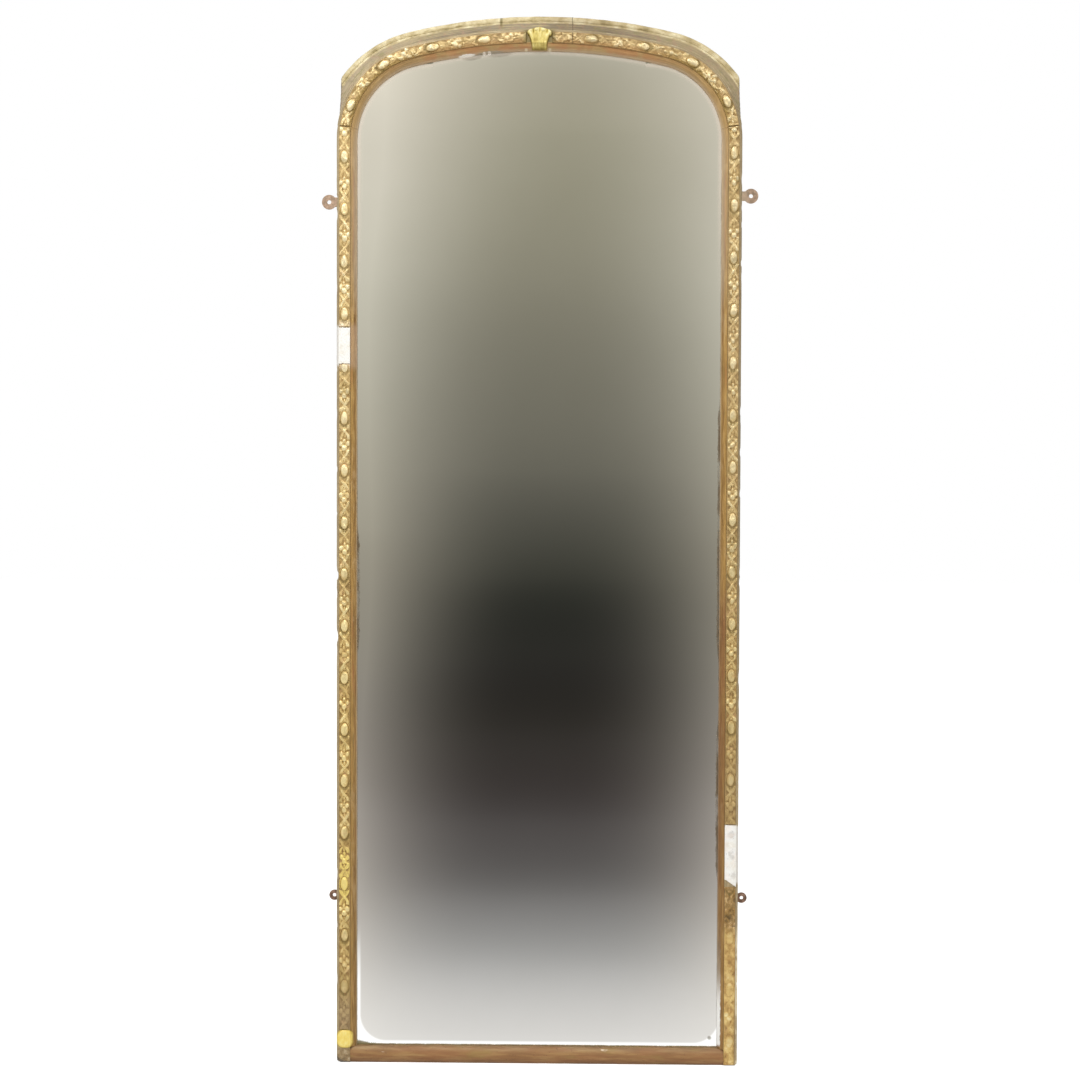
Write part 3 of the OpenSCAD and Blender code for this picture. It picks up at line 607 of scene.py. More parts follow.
def rail_finish(name):
    """Red-brown worn bole on the bottom rail, paler near its top edge as painted highlight, darker below as
    painted shade.
    """
    t, p = new_finish(name)
    z = t.axes(p)[2]
    streak = t.noise((16, 160, 160), 1.0, 6, 0.62)
    # Painted light and shade by height: a highlight on the rounded face near its top, shade on its lower
    # part.
    t.colour = t.ramp(z / (RAIL_H / 1000),
                      [(0.02, 110, 80, 54), (0.22, 136, 98, 62), (0.45, 150, 108, 66),
                       (0.72, 164, 124, 80), (0.86, 160, 128, 88), (0.97, 134, 112, 80)])
    t.coat(0.50, t.ramp(streak, [(0.28, 106, 72, 40), (0.48, 150, 106, 62), (0.62, 176, 138, 84),
                                 (0.80, 200, 164, 108)]))
    t.patches(0.45, (150, 124, 66), 0.54, 0.66, (14, 60, 60), 1.0, 4, 0.6)
    t.patches(0.40, (156, 104, 64), 0.50, 0.62, (9, 60, 60), 1.0, 4, 0.6)
    loss = t.rise(t.noise((30, 90, 110), 1.0, 3, 0.5), 0.69, 0.73) * t.rise(z, 0.014, 0.021)
    t.coat(loss, (226, 206, 180))
    t.patches(0.6, (76, 54, 36), 0.64, 0.72, p, 210, 4, 0.6)
    height = streak + t.noise(p, 420, 3)
    return t.surface(t.span(streak, 0.3, 0.8, 0.64, 0.42), t.bump(height, 0.0006, 0.6), 0.06)


def plaster_finish(name):
    """Chalky white plaster with grey smudges, its right fill dirtier than the left one."""
    t, p = new_finish(name)
    x, y, z = t.axes(p)
    cloud = t.noise(p, 60, 5, 0.6)
    t.colour = t.ramp(cloud, [(0.30, 240, 232, 216), (0.50, 251, 248, 241), (0.70, 255, 254, 251)])
    speck = t.rise(t.noise(p, 120, 5, 0.72), 0.57, 0.66) * t.span(x, -0.1, 0.1, 0.16, 1.0)
    t.coat(speck * 0.55, (162, 150, 138))
    ragged = (t.noise(p, 240, 4, 0.7) - 0.5) * 0.012
    for px, pz, half in SMUDGES:
        far = (x - px) ** 2.0 + (z - pz) ** 2.0
        smudge = t.span(t.root(far) + ragged, 0.2 * half, half, 0.42, 0.0)
        t.coat(smudge * t.span(cloud, 0.35, 0.60, 0.6, 1.0), (168, 160, 150))
    rosy = t.rise(t.noise((1.3, 1, 1), 48, 3), 0.48, 0.60) * t.span(x, -0.1, 0.1, 0.0, 0.3)
    t.coat(rosy, (252, 232, 214))
    height = cloud + t.noise(p, 700, 3) * 0.7
    return t.surface(0.85, t.bump(height, 0.0008, 0.7), 0.0, 0.2)


def new_gold(name):
    """Bright yellow gold of the repaired foot, with brush marks and painted shade around its edge."""
    t, p = new_finish(name)
    brush = t.noise((1, 1, 0.4), 260, 4, 0.6)
    t.colour = t.ramp(brush, [(0.25, 244, 212, 98), (0.50, 254, 228, 124), (0.75, 255, 240, 164)])
    t.patches(0.4, (216, 178, 78), 0.58, 0.70, p, 120, 3)
    # Painted shade where the boss's relief falls off at its edge.
    t.coat(t.span(t.attribute("relief"), 0.14, 0.40, 0.75, 0.0), (198, 166, 62))
    return t.surface(t.span(brush, 0.3, 0.7, 0.45, 0.34), t.bump(brush, 0.0002, 0.5), 0.15)


def leaf_gold(name):
    """Old greenish gold on the crown's leaves, with painted shade in the hollows of their relief and painted
    highlight on its high spots.
    """
    t, p = new_finish(name)
    relief = t.attribute("relief")
    grain = t.noise(p, 700, 4, 0.6)
    tone = relief + (grain - 0.5) * 0.3 + (t.noise(p, 110, 3) - 0.5) * 0.55
    # By relief: painted shade in the hollows, painted highlight on the high spots.
    t.colour = t.ramp(tone, [(0.22, 134, 112, 44), (0.46, 186, 162, 78), (0.66, 220, 200, 114),
                             (0.92, 246, 232, 168)])
    t.patches(0.4, (138, 118, 66), 0.60, 0.70, p, 240, 4, 0.6)
    return t.surface(t.span(tone, 0.3, 0.9, 0.56, 0.40), t.bump(grain, 0.0003, 0.5), 0.1)


def pine_finish(name, dark, light, along="z", shift=0.0):
    """Old unfinished softwood, with its grain along one axis; shift gives each board its own."""
    t, p = new_finish(name)
    t.coordinates = t.add("VectorMath", {0: p, 1: (shift, 0.37 * shift, 2.1 * shift)}, operation="ADD")
    stretch = {"z": (38, 38, 2.2), "x": (2.2, 38, 38)}[along]
    grain = t.noise(stretch, 1.0, 5, 0.6, 1.2)
    rings = t.rise(t.math("FRACT", grain * 9.0), 0.0, 0.9)
    fibre = t.noise(tuple(v * 14 for v in stretch), 1.0, 4, 0.6)
    tone = rings * 0.55 + fibre * 0.45
    t.colour = t.mix(tone, dark, light)
    t.patches(0.42, (84, 64, 46), 0.46, 0.74, (1, 1, 0.45), 5.5, 5, 0.6)
    t.patches(0.3, (150, 136, 116), 0.55, 0.75, t.coordinates, 30, 4, 0.6)
    height = fibre + rings * 0.4
    return t.surface(t.span(fibre, 0.2, 0.8, 0.85, 0.68), t.bump(height, 0.0006, 0.5), 0.0, 0.3)


def old_brass(name):
    """Dull brown-pink patina with rubbed pale spots."""
    t, p = new_finish(name)
    cloud = t.noise(p, 160, 5, 0.65)
    t.colour = t.ramp(cloud, [(0.28, 86, 66, 52), (0.45, 136, 106, 88), (0.60, 176, 142, 122),
                              (0.78, 206, 178, 156)])
    t.patches(0.4, (98, 112, 86), 0.66, 0.74, p, 330, 3, 0.6)
    x, y, z = t.axes(p)
    pale = t.rise(z, 1.0, 1.2) * t.span(abs(x) - x * 0.03, 0.334, 0.352, 0.62, 0.25)
    t.coat(pale, (244, 222, 192))
    return t.surface(t.span(cloud, 0.3, 0.7, 0.62, 0.40), t.bump(t.noise(p, 900, 4), 0.0003, 0.5), 0.45)


def old_iron(name):
    """Dark iron with rusty patches."""
    t, p = new_finish(name)
    cloud = t.noise(p, 420, 5, 0.65)
    t.colour = t.ramp(cloud, [(0.30, 62, 52, 46), (0.50, 104, 92, 82), (0.70, 142, 92, 62)])
    return t.surface(t.span(cloud, 0.3, 0.7, 0.45, 0.8), t.bump(cloud, 0.0002, 0.6), 0.6)


def from_sight_edge(t, x, z):
    """How far a point of the glass lies inside the sight edge, in metres."""
    aside = abs(x)

    def inside(cx, cz, r):
        """Distance inwards from a circle's edge."""
        dx, dz = aside - cx / 1000, z - cz / 1000
        d = dx * dx + dz * dz
        return r / 1000 - t.root(d)

    beyond_shoulder = (aside > SHOULDER_X / 1000) * (z > SPRING / 1000)
    shoulder = inside(SHOULDER_X, SPRING, SHOULDER_R) + (1.0 - beyond_shoulder) * 9.0
    crown = inside(0, CROWN_Y, CROWN_R) + (z < SPRING / 1000) * 9.0
    return t.min(SIGHT / 1000 - aside, crown, shoulder, z - RAIL_H / 1000)


def mirror_finish(name):
    """Silvered plate: clear in the middle, foxed and flaked along its edge."""
    t, p = new_finish(name)
    x, y, z = t.axes(p)
    edge = from_sight_edge(t, x, z)
    ragged = t.noise((1, 1, 0.45), 210, 5, 0.7)
    left = x < 0.0
    right = 1.0 - left
    zone = t.max(*((left if side < 0 else right) * t.between(z, low, low + FOX_EASE, high - FOX_EASE, high)
                   for side, low, high in FOXED))
    reach = (0.0005 + zone * 0.0036) * (ragged * 1.8)
    fox = t.fall(edge - reach, -0.0014, 0.0010)
    fox *= t.span(t.noise((1, 1, 0.3), 60, 4, 0.6), 0.34, 0.56, 0.25, 1.0)
    foot_dirt = t.fall(z, 0.0288, 0.0312) * t.rise(ragged, 0.30, 0.55)
    fox = t.max(fox, foot_dirt * 0.7)
    from_corner = t.max(x + SIGHT / 1000, 0.0)
    heap = z + from_corner ** 0.55 * 0.054 + (ragged - 0.5) * 0.008
    fox = t.max(fox, t.fall(heap, 0.0360, 0.0395) * 0.95)

    def spot(cx, half_x, depth, soft=0.3):
        """A ragged half oval at the arch's edge."""
        d = abs((x - cx) / half_x) ** 2.0 + (edge / depth) ** 2.0 + (ragged - 0.5) * 0.9
        return t.fall(d, 1.0 - soft, 1.0 + soft) * t.rise(z, 1.66, 1.665)

    dark = t.mix(t.noise(p, 300, 4), (88, 76, 60), (132, 118, 96))
    grey = t.max(spot(-0.066, 0.022, 0.0066, 0.5), spot(-0.112, 0.018, 0.0075, 0.4))
    flake = t.max(spot(-0.122, 0.014, 0.0020), spot(-0.0925, 0.0028, 0.0024), spot(-0.0835, 0.0034, 0.0028))
    flaw_and_reflection_colour = t.mix(t.fall(z, 0.036, 0.040), dark, (136, 126, 88))
    flaw_and_reflection_colour = t.mix(t.rise(z, 1.66, 1.665), flaw_and_reflection_colour, (136, 133, 114))
    flaw_and_reflection_colour = t.mix(flake, flaw_and_reflection_colour, (252, 244, 232))
    at = (x - SPECK[0]) ** 2.0 + (z - SPECK[1]) ** 2.0
    speck = t.fall(t.root(at), 0.0014, 0.0046) * 0.85
    # Painted reflection of the slip: a pale matte band along the glass's upper edges.
    slip_reflection = t.span(edge, 0.0005, 0.0090, 0.42, 0.0) * t.rise(z, 1.25, 1.55)
    flaw_and_reflection_colour = t.mix(slip_reflection > t.max(fox, flake), flaw_and_reflection_colour, (232, 216, 200))
    haze = t.noise(p, 9, 4, 0.6)
    silver = t.mix(haze, (243, 243, 240), (249, 249, 247))
    silver = t.mix(t.max(grey * 0.55, speck), silver, (150, 146, 134))
    flaws_and_reflection = t.max(fox, flake, slip_reflection)
    clear = t.shader(silver, t.rise(haze, 0.4, 0.8) * 0.012, t.bump(t.noise(p, 2.2, 1), 0.00004, 0.3), 1.0)
    matte = t.shader(flaw_and_reflection_colour, 0.75, None, 0.0, 0.15)
    return t.finish(t.add("MixShader", {0: flaws_and_reflection, 1: clear, 2: matte}))


GILT = gilt_ornament("gilt_ornament")
CORE = rubbed_gilding("rubbed_gilding", [(0.25, 120, 103, 74), (0.42, 160, 140, 104), (0.58, 186, 166, 128),
                                         (0.78, 216, 198, 160)], 0.02, 0.05)
COVE = cornice_finish("dirty_cove")
SLIP = slip_finish("copper_slip")
RAIL = rail_finish("worn_bole")
PLASTER = plaster_finish("bare_plaster")
BOSS_GOLD = new_gold("new_gilding")
LEAF_GOLD = leaf_gold("leaf_gilding")
PINE = pine_finish("old_pine", (112, 82, 54), (176, 138, 96))
BOARDS = {word: pine_finish("old_pine_" + word, dark, light, "z", shift) for word, dark, light, shift in
          (("left", (104, 76, 50), (164, 128, 88), 3.1), ("centre", (120, 88, 58), (186, 148, 104), 5.7),
           ("right", (110, 84, 58), (172, 138, 100), 8.9))}
BATTEN = pine_finish("old_pine_across", (104, 76, 50), (166, 130, 90), "x")
BRASS = old_brass("old_brass")
IRON = old_iron("old_iron")
SILVER = mirror_finish("old_mirror")


# ---- running ornament --------

# Step along the cast ornament in millimetres, and its points from edge to edge.
CAST_PITCH, CAST_ACROSS = 0.75, 37


def dome(u, v, a, b):
    """Height of a smooth blob with half axes a and b, 1 at its centre."""
    return np.sqrt(np.clip(1 - (u / a) ** 2 - (v / b) ** 2, 0, 1))


def ornament_height(run, t, seed, lowest, lumpy):
    """Relief of the cast ornament in millimetres over its seat; lumpy blurs the ribbons."""
    k = (run - lowest) / REPEAT
    near = np.round(k)
    u = (k - near) * REPEAT
    v = t - ORN_W / 2 + 0.5 * (field(near * 3.1, 0.5, seed) - 0.5)
    u = u + 1.8 * (field(run / 15, t / 12, seed + 61) - 0.5)
    v = v + 1.7 * (field(run / 12, t / 10, seed + 67) - 0.5)
    au = np.abs(u)
    away = step(11.0, 15.0, au) * lumpy
    u = u + 6.0 * away * (field(run / 6.5, t / 7, seed + 91) - 0.5)
    v = v + 5.0 * away * (field(run / 7.5, t / 6, seed + 93) - 0.5)
    au = np.abs(u)
    q = u - np.sign(u + 1e-9) * REPEAT / 2
    fade = 0.66 + 0.6 * field(run / 17, 3.7, seed + 5)

    bead = 4.3 * dome(u, v, 11.4, 6.6) ** 0.8
    collar = 1.7 * np.exp(-((np.sqrt((u / 13.6) ** 2 + (v / 7.9) ** 2) - 1) / 0.10) ** 2) * (au < 15)
    swing = 6.1 * np.cos(np.pi * np.clip((au - 11.0) / 22.5, -0.3, 1.3))
    gate = step(8.5, 12.0, au) * (1 - step(33.0, 37.5, au))
    band = 0.0
    for sign, lift in ((1, 0.4), (-1, 0.0)):
        d = (v - sign * swing) / (2.65 + 0.25 * sign + 0.9 * lumpy)
        strand = np.clip(1 - d ** 4, 0, 1) ** (0.5 + 0.8 * lumpy)
        groove = (0.45 - 0.3 * lumpy) * np.exp(-(d / 0.22) ** 2)
        band = np.maximum(band, (2.6 + lift - groove) * strand * gate)
    band = band * (1 - 0.7 * lumpy * step(0.40, 0.62, field(run / 9, t / 6, seed + 81)))
    lobes = [3.8 * dome(q - 1.4, v - sign * 5.3, 5.2, 3.4) for sign in (-1, 1)]
    low_lobe = 3.9 * dome(q + 5.6, v, 5.6, 4.8)
    tip = 2.9 * dome(q - 7.4, v, 3.4, 2.6)
    cup = 2.3 * dome(q, v, 6.5, 6.0) * (1 - 0.9 * np.exp(-((q - 0.6) ** 2 + v ** 2) / 3.0))
    leaf = 2.4 * dome(au - 15.2, v, 3.6, 2.2)
    bud = 1.9 * dome(au - 29.5, v, 3.4, 1.9)
    rose = np.maximum.reduce([*lobes, low_lobe, tip, cup])
    sprigs = np.maximum(leaf, bud) * np.ones_like(v)
    shape = np.maximum.reduce([bead, collar, band, sprigs, rose]) * np.clip(fade, 0.62, 1.05)

    edge = np.abs(t - ORN_W / 2)
    ground = 1.0 + 0.45 * (1 - (edge / 9) ** 2) + 0.6 * np.exp(-((edge - 8.0) / 0.7) ** 2)
    shape = shape * (1 - step(8.3, 9.2, edge))
    pitted = 0.6 * (fractal(run / 2.3, t / 2.3, seed + 9) - 0.5)
    coarse = (0.8 + 2.2 * lumpy) * (field(run / 6, t / 4.5, seed + 17) - 0.5)
    clot = 2.6 * lumpy * step(0.45, 0.8, field(run / 4.5, t / 4.0, seed + 19))
    shape = np.maximum(shape, clot * step(11.0, 14.0, au) * (1 - step(8.0, 9.0, edge)))
    # Painted shadow: a dark crescent round the lower end of each bead, returned with the relief.
    around = np.sqrt((u / 12.6) ** 2 + (v / 7.4) ** 2)
    grime = np.exp(-((around - 1.04) / 0.17) ** 2) * step(1.0, -7.0, u)
    grime = grime * (0.5 + 0.9 * field(near * 2.3, 0.5, seed + 7))
    return ground + shape + pitted + coarse * (shape > 0.5), np.clip(grime, 0, 1)


def ornament(place_name, low, high, side, seed, wear, smeared=lambda s: 0 * s, lumpy=0.38):
    """One run of the cast ornament from low to high, as a closed piece on its seat."""
    s = runs(low, high, CAST_PITCH)
    t = np.linspace(0, ORN_W, CAST_ACROSS)
    lowest = FIRST_BEAD + RIGHT_LEAD * (side > 0 and low > FILL_R[0])
    h, grime = ornament_height(s[:, None], t[None, :], seed, lowest, lumpy)
    rub = np.clip(wear(s), 0, 1)[:, None]
    h = 1.1 + (h - 1.1) * (0.94 - 0.62 * rub)
    h = np.clip(h, 0.35, 5.4)
    h[:, [0, -1]] = np.minimum(h[:, [0, -1]], 0.7)
    ends = np.minimum(s - low, high - s)[:, None]
    h = 0.5 + (h - 0.5) * step(-0.5, 1.0, ends)
    out = np.repeat(np.concatenate([[ORN_IN], ORN_IN + t, [ORN_OUT]])[None, :], len(s), 0)
    level = np.pad(h, ((0, 0), (1, 1))) + SEAT
    relief = np.clip((level - SEAT - 0.4) / 4.4, 0, 1)
    # Painted light: the ornament's inner wall is coloured as if it stood higher, lighter than its shade.
    relief[:, :4] = np.maximum(relief[:, :4], 0.30)
    inner = np.clip(1 - (out - ORN_IN) / (0.5 * ORN_W), 0, 1)
    worn = rub + 0.35 * (fractal(s / 45, 0.3, seed + 31)[:, None] - 0.5) + 0 * out
    smear = (smeared(s) * (0.75 + 0.5 * fractal(s / 14, 1.7, seed + 41)))[:, None] + 0 * out
    attributes = {"relief": relief, "worn": np.clip(worn, 0, 1), "smear": np.clip(smear, 0, 1),
                  "inner": inner, "grime": np.pad(grime, ((0, 0), (1, 1)), "edge")}
    piece = tube("carved_run_" + place_name, place(s, out, level, side), attributes, sharp=75)
    dress(piece, GILT, "gilt_ornament", "ornament_" + place_name)


def left_wear(s):
    return 0.10 + 0.75 * (1 - step(60, 190, s))


def right_wear(s):
    return 0.18 + 0.72 * (1 - step(300, 330, s)) + 0.35 * np.exp(-((s - 470) / 60) ** 2)


def right_smear(s):
    """Gold paint over the worn ornament of the right foot."""
    return 0.9 * (1 - step(215, 245, s))


def arch_wear(s):
    return 0.15 + 0.2 * step(SPRING + 80, RUN_CROWN, s)


ornament("left_lower", BOSS[1] + BUTT, FILL_L[0] - BUTT, -1, 11, left_wear)
ornament("left_upper", FILL_L[1] + BUTT, RUN_JOINT - BUTT, -1, 11, left_wear)
ornament("right_lower", 3.0, FILL_R[0] - BUTT, 1, 57, right_wear, right_smear)
ornament("right_upper", FILL_R[1] + BUTT, RUN_JOINT - BUTT, 1, 57, right_wear)
for (side, word), seed in zip(SIDES, (23, 71)):
    ornament("arch_" + word, RUN_JOINT + BUTT, RUN_CROWN - CROWN_GAP, side, seed, arch_wear, lumpy=0.8)


# ---- mouldings --------

def moulding(name, section, low, high, side, pitch, seed, rough_in, finish, node, shape=None,
             sharp=35, seam=0.0):
    """Sweeps a section along the path, roughened where rough_in(out, level) allows.

    shape(s, out, level) may change the swept points, and a seam holds the crown's end off the middle."""
    s = runs(low, high, pitch)
    out, level = (np.repeat(np.array([values]), len(s), 0) for values in zip(*section))
    along = s[:, None] + 0 * out
    round_the_section = np.arange(out.shape[1])[None, :] + 0 * along
    depth = rough_in(out, level) * (fractal(along / 11, round_the_section / 2.5, seed) - 0.35)
    middle = [np.mean(values) for values in zip(*section)]
    dx, dy = middle[0] - out, middle[1] - level
    size = np.hypot(dx, dy) + 1e-6
    out, level = out + dx / size * depth, level + dy / size * depth
    extra = {}
    if shape:
        out, level, extra = shape(s, out, level)
    grid = place(s, out, level, side)
    if seam:
        grid[-1, :, 0] = side * seam / 1000
    attributes = {"run": along / 1000, "out": out / 1000, "lev": level / 1000, **extra}
    dress(tube(name, grid, attributes, sharp), *finish, node)


ARRIS = arc(ORN_OUT, SEAT - ARRIS_R, ARRIS_R, 90, 0, 6)
CORE_SECTION = refine([(ORN_IN + REBATE, 0), (ORN_IN + REBATE, 8), (ORN_IN, 8), (ORN_IN, SEAT)] + ARRIS
                      + [(BORDER, 40), (BORDER, 0)], 3.2)
FRONT_SECTION = refine([(ORN_IN, 30), (ORN_IN, SEAT)] + ARRIS + [(BORDER, 30)], 3.2)


def arris_only(out, level):
    return np.where((out > ORN_OUT - 0.2) & (level > 20), 0.8, 0.0)


def rounding(s, reach):
    """A quarter circle that falls from 1 at the foot to 0 at its reach."""
    return 1 - np.sqrt(np.clip(1 - (1 - np.clip(s / reach, 0, 1)) ** 2, 0, 1))


def foot_worn(side):
    """The foot's outer corner is rounded off, and a few knocks dent the arris."""
    rng = np.random.RandomState(5 + side)
    knocks = [(rng.uniform(80, 1500), rng.uniform(3, 9), rng.uniform(0.6, 1.8)) for _ in range(16)]
    if side < 0:
        knocks += [(825.0, 7.0, 3.4), (722.0, 9.0, 2.6)]

    def shape(s, out, level):
        cut = np.zeros_like(s)
        for at, wide, deep in knocks:
            cut = np.maximum(cut, deep * np.exp(-((s - at) / wide) ** 4))
        round_off = (7.0 - 3.0 * (side > 0)) * rounding(s, 8.0)
        outer = (out > 20) & (level > 12)
        limit = BORDER - np.where(level > 45, 1.0, 0.4) * (cut + round_off)[:, None]
        toe = SEAT - 5.0 * rounding(s, 3.2)
        return np.where(outer, np.minimum(out, limit), out), np.minimum(level, toe[:, None]), {}

    return shape


SEAM = 0.05
for side, word in SIDES:
    finish = (CORE, "worn_gilding")
    moulding(f"gilded_stile_{word}", CORE_SECTION, 0, RUN_JOINT, side, 4.0, 100 + side, arris_only,
             finish, f"stile_{word}", foot_worn(side))
    moulding(f"gilded_arch_{word}", FRONT_SECTION, RUN_JOINT, RUN_CROWN, side, 4.0, 110 + side, arris_only,
             finish, f"arch_front_{word}", None, 35, SEAM)

SLIP_SECTION = refine([(0, GLASS_FRONT), (10.2, GLASS_FRONT), (10.2, 66.0), (9.0, 66.0), (8.2, 65.1),
                       (7.0, 64.4), (5.4, 63.0), (3.9, 61.4), (2.6, 60.0), (1.2, 58.6), (0.2, 57.2)], 2.0)


def slope_only(out, level):
    return np.where((out < 9.6) & (level > 55), 0.45, 0.0)


for side, word in SIDES:
    finish = (SLIP, "worn_bole")
    moulding(f"sight_slip_{word}", SLIP_SECTION, RAIL_H, RUN_JOINT - 0.2, side, 3.0, 130 + side, slope_only,
             finish, f"slip_{word}", None, 50)
    moulding(f"sight_slip_arch_{word}", SLIP_SECTION, RUN_JOINT + 0.2, RUN_CROWN, side, 3.0, 140 + side,
             slope_only, finish, f"slip_arch_{word}", None, 50, SEAM)

# The hollow is an arc between these two points, (out, level), with its centre out in front.
TOP = (BORDER + 0.3, SEAT - 5.5)
FOOT = (CORNICE_OUT - 12.0, 12.0)
HOLLOW_R = 52
CHORD = math.dist(TOP, FOOT)
AWAY = ((TOP[1] - FOOT[1]) / CHORD, (FOOT[0] - TOP[0]) / CHORD)
REACH = math.sqrt(HOLLOW_R ** 2 - (CHORD / 2) ** 2) + 0.4
HOLLOW_C = [(a + b) / 2 + w * REACH for a, b, w in zip(TOP, FOOT, AWAY)]


def bearing(p):
    return math.degrees(math.atan2(p[1] - HOLLOW_C[1], p[0] - HOLLOW_C[0])) % 360


CORNICE_SECTION = refine(
    [(TOP[0], 0.0), (TOP[0], TOP[1]), (TOP[0] + 0.5, TOP[1])]
    + arc(*HOLLOW_C, HOLLOW_R, bearing(TOP) + 1.2, bearing(FOOT) - 1.0, 14)
    + [(FOOT[0] - 1.0, FOOT[1]), (FOOT[0] - 1.0, 11.2), (FOOT[0] + 3.0, 11.0)]
    + arc(CORNICE_OUT - 6.3, 5.9, 6.3, 115, -75, 10) + [(CORNICE_OUT - 8.5, 0.0)], 4.0)


def show_only(out, level):
    return np.where((out > BORDER + 1.5) & (level > 1.0), 1.0, 0.0)


def sawn(s, out, level):
    """Cuts the cornice flush with the side of the frame, and square at its foot."""
    px, py, nx, ny = path(s)
    room = ((HALF_W - px) / np.maximum(nx, 1e-6))[:, None]
    return np.minimum(out, room), level, {"cut": np.where(out > room, 1.0, 0.0)}


CORNICE_LOW = SPRING + (SHOULDER_R + ORN_MID) * math.asin(24.0 / (SHOULDER_R + BORDER + 2))
for side, word in SIDES:
    moulding(f"cove_cornice_{word}", CORNICE_SECTION, CORNICE_LOW, RUN_CROWN, side, 3.0, 150 + side,
             show_only, (COVE, "dirty_gilding"), f"cornice_{word}", sawn, 50, SEAM)


# ---- bottom rail --------

def bottom_rail():
    """The rail is swept along x: its section is (height, level), with a shallow rounded face."""
    bulge = 6
    face_r = ((RAIL_H / 2) ** 2 + bulge ** 2) / (2 * bulge)
    span = math.degrees(math.asin(RAIL_H / 2 / face_r))
    inner = RAIL_H - ORN_IN
    section = refine([(RAIL_H, GLASS_FRONT), (inner, GLASS_FRONT), (inner, 8), (inner - REBATE, 8),
                      (inner - REBATE, 0), (0, 0)]
                     + arc(RAIL_H / 2, SEAT - face_r, face_r, 90 + span, 90 - span, 14), 3.0)
    reach = SIGHT + ORN_IN - 0.1
    x = np.linspace(-reach, reach, 220)[:, None]
    up, level = (np.repeat(np.array([values]), len(x), 0) for values in zip(*section))
    k = np.arange(up.shape[1])[None, :]
    front = level > 60
    dent = fractal(x / 13 + 40, k / 2.0, 170) - 0.3
    chips = np.clip(fractal(x / 17 + 90, k * 0 + 0.5, 171) - 0.56, 0, 1) * 9
    level = level - np.where(front, dent, 0)
    level = level - np.where((up > 26) & front, chips, 0)
    grid = np.stack([x + 0 * up, MID_LEVEL - level, up], -1) / 1000
    dress(tube("worn_bottom_rail", grid), RAIL, "worn_bole", "bottom_rail")


bottom_rail()


# ---- leaf at the crown, boss at the foot, plaster fills --------

def relief_plate(name, xs, ys, height, inside, at, side=1, droop=None):
    """A closed plate over a grid in the frame's plane, with its height over the seat given."""
    gx, gy = np.meshgrid(xs, ys, indexing="ij")
    filled = inside(gx, gy)
    h = np.where(filled, height(gx, gy), 0.05)
    n, m = gx.shape
    seat = SEAT - (droop(gx, gy) if droop else 0 * gy)
    top, base = (np.stack([side * (at[0] + gx), MID_LEVEL - seat - rise, at[1] + gy], -1) / 1000
                 for rise in (h, 0))
    i, j = np.meshgrid(np.arange(n - 1), np.arange(m - 1), indexing="ij")
    a = (i * m + j).ravel()
    quads = np.stack([a, a + m, a + m + 1, a + 1], -1)
    quads = quads[filled.ravel()[quads].any(1)]
    under = quads[:, ::-1] + n * m
    edges = dict.fromkeys((p, q) for f in quads.tolist() for p, q in zip(f, f[1:] + f[:1]))
    walls = [[p, p + n * m, q + n * m, q] for p, q in edges if (q, p) not in edges]
    faces = quads.tolist() + under.tolist() + walls
    verts = np.concatenate([top, base]).reshape(-1, 3)
    used = np.unique(np.concatenate([np.ravel(f) for f in faces]))
    index = -np.ones(len(verts), int)
    index[used] = np.arange(len(used))
    faces = [[int(index[v]) for v in f] for f in faces]
    if side > 0:
        faces = [f[::-1] for f in faces]
    relief = np.concatenate([h.ravel(), 0 * h.ravel()])[used] / 7.0
    return make(name, verts[used], faces, {"relief": np.clip(relief, 0, 1)}, 60)


def leaf_height(x, y):
    """A calyx: ribs that widen upwards from a narrow foot, with bumps and side scrolls at the top."""
    half = 12.6 + 7.6 * np.clip((y - 5) / 23, 0, 1) ** 1.5
    lean = x / half
    body = 3.3 + 1.2 * step(12, 30, y)
    ribs = sum(w * np.exp(-((lean - c) / wide) ** 2) for c, w, wide in (
        (-0.80, 1.5, 0.20), (-0.38, 0.9, 0.14), (-0.02, 1.3, 0.19), (0.40, 0.6, 0.12), (0.78, 1.5, 0.20)))
    uneven = 1.3 * (fractal(x / 6 + 9, y / 9, 91) - 0.5)
    h = np.where(np.abs(lean + 0.10 * (field(y / 9, 0.5, 93) - 0.5)) < 1, body + ribs + uneven, 0)
    h = h * np.clip((1 - np.abs(lean)) * 9, 0, 1) ** 0.5 * (0.30 + 0.70 * step(-1.0, 5.0, y))
    for high, cx, cy, wide, tall in (
            (6.8, -14.4, 30.2, 4.4, 4.6), (6.8, -5.0, 31.6, 5.0, 4.0), (6.8, 6.6, 31.2, 5.4, 4.4),
            (6.9, 17.4, 26.0, 3.2, 5.0), (5.6, -17.4, 27.0, 2.8, 4.2)):
        h = np.maximum(h, high * dome(x - cx, y - cy, wide, tall))
    h = h - 2.0 * np.exp(-((x + 9.8) / 1.0) ** 2) * step(22, 28, y)
    h = h - 2.0 * np.exp(-((x - 0.8) / 1.0) ** 2) * step(24, 29, y)
    h = h - 2.4 * np.exp(-(((x - 13.0) / 1.2) ** 2 + ((y - 28.5) / 5.0) ** 2))
    return np.clip(h, 0, 6.9)


def leaf_outline(x, y):
    top = 34.4 - 4.6 * (np.abs(x) / 19) ** 2 + 1.8 * (field(x / 4, 0.5, 97) - 0.5)
    return (leaf_height(x, y) > 0.6) & (y > 0.1) & (y < top)


def over_slip(out):
    """How far the slip lies below the seat at a distance from the sight edge."""
    return np.interp(out, [0.2, 1.2, 2.6, 3.9, 5.4, 7.0, 8.2, 9.6],
                     [9.6, 8.2, 6.8, 5.4, 3.8, 2.4, 1.7, 0.0])


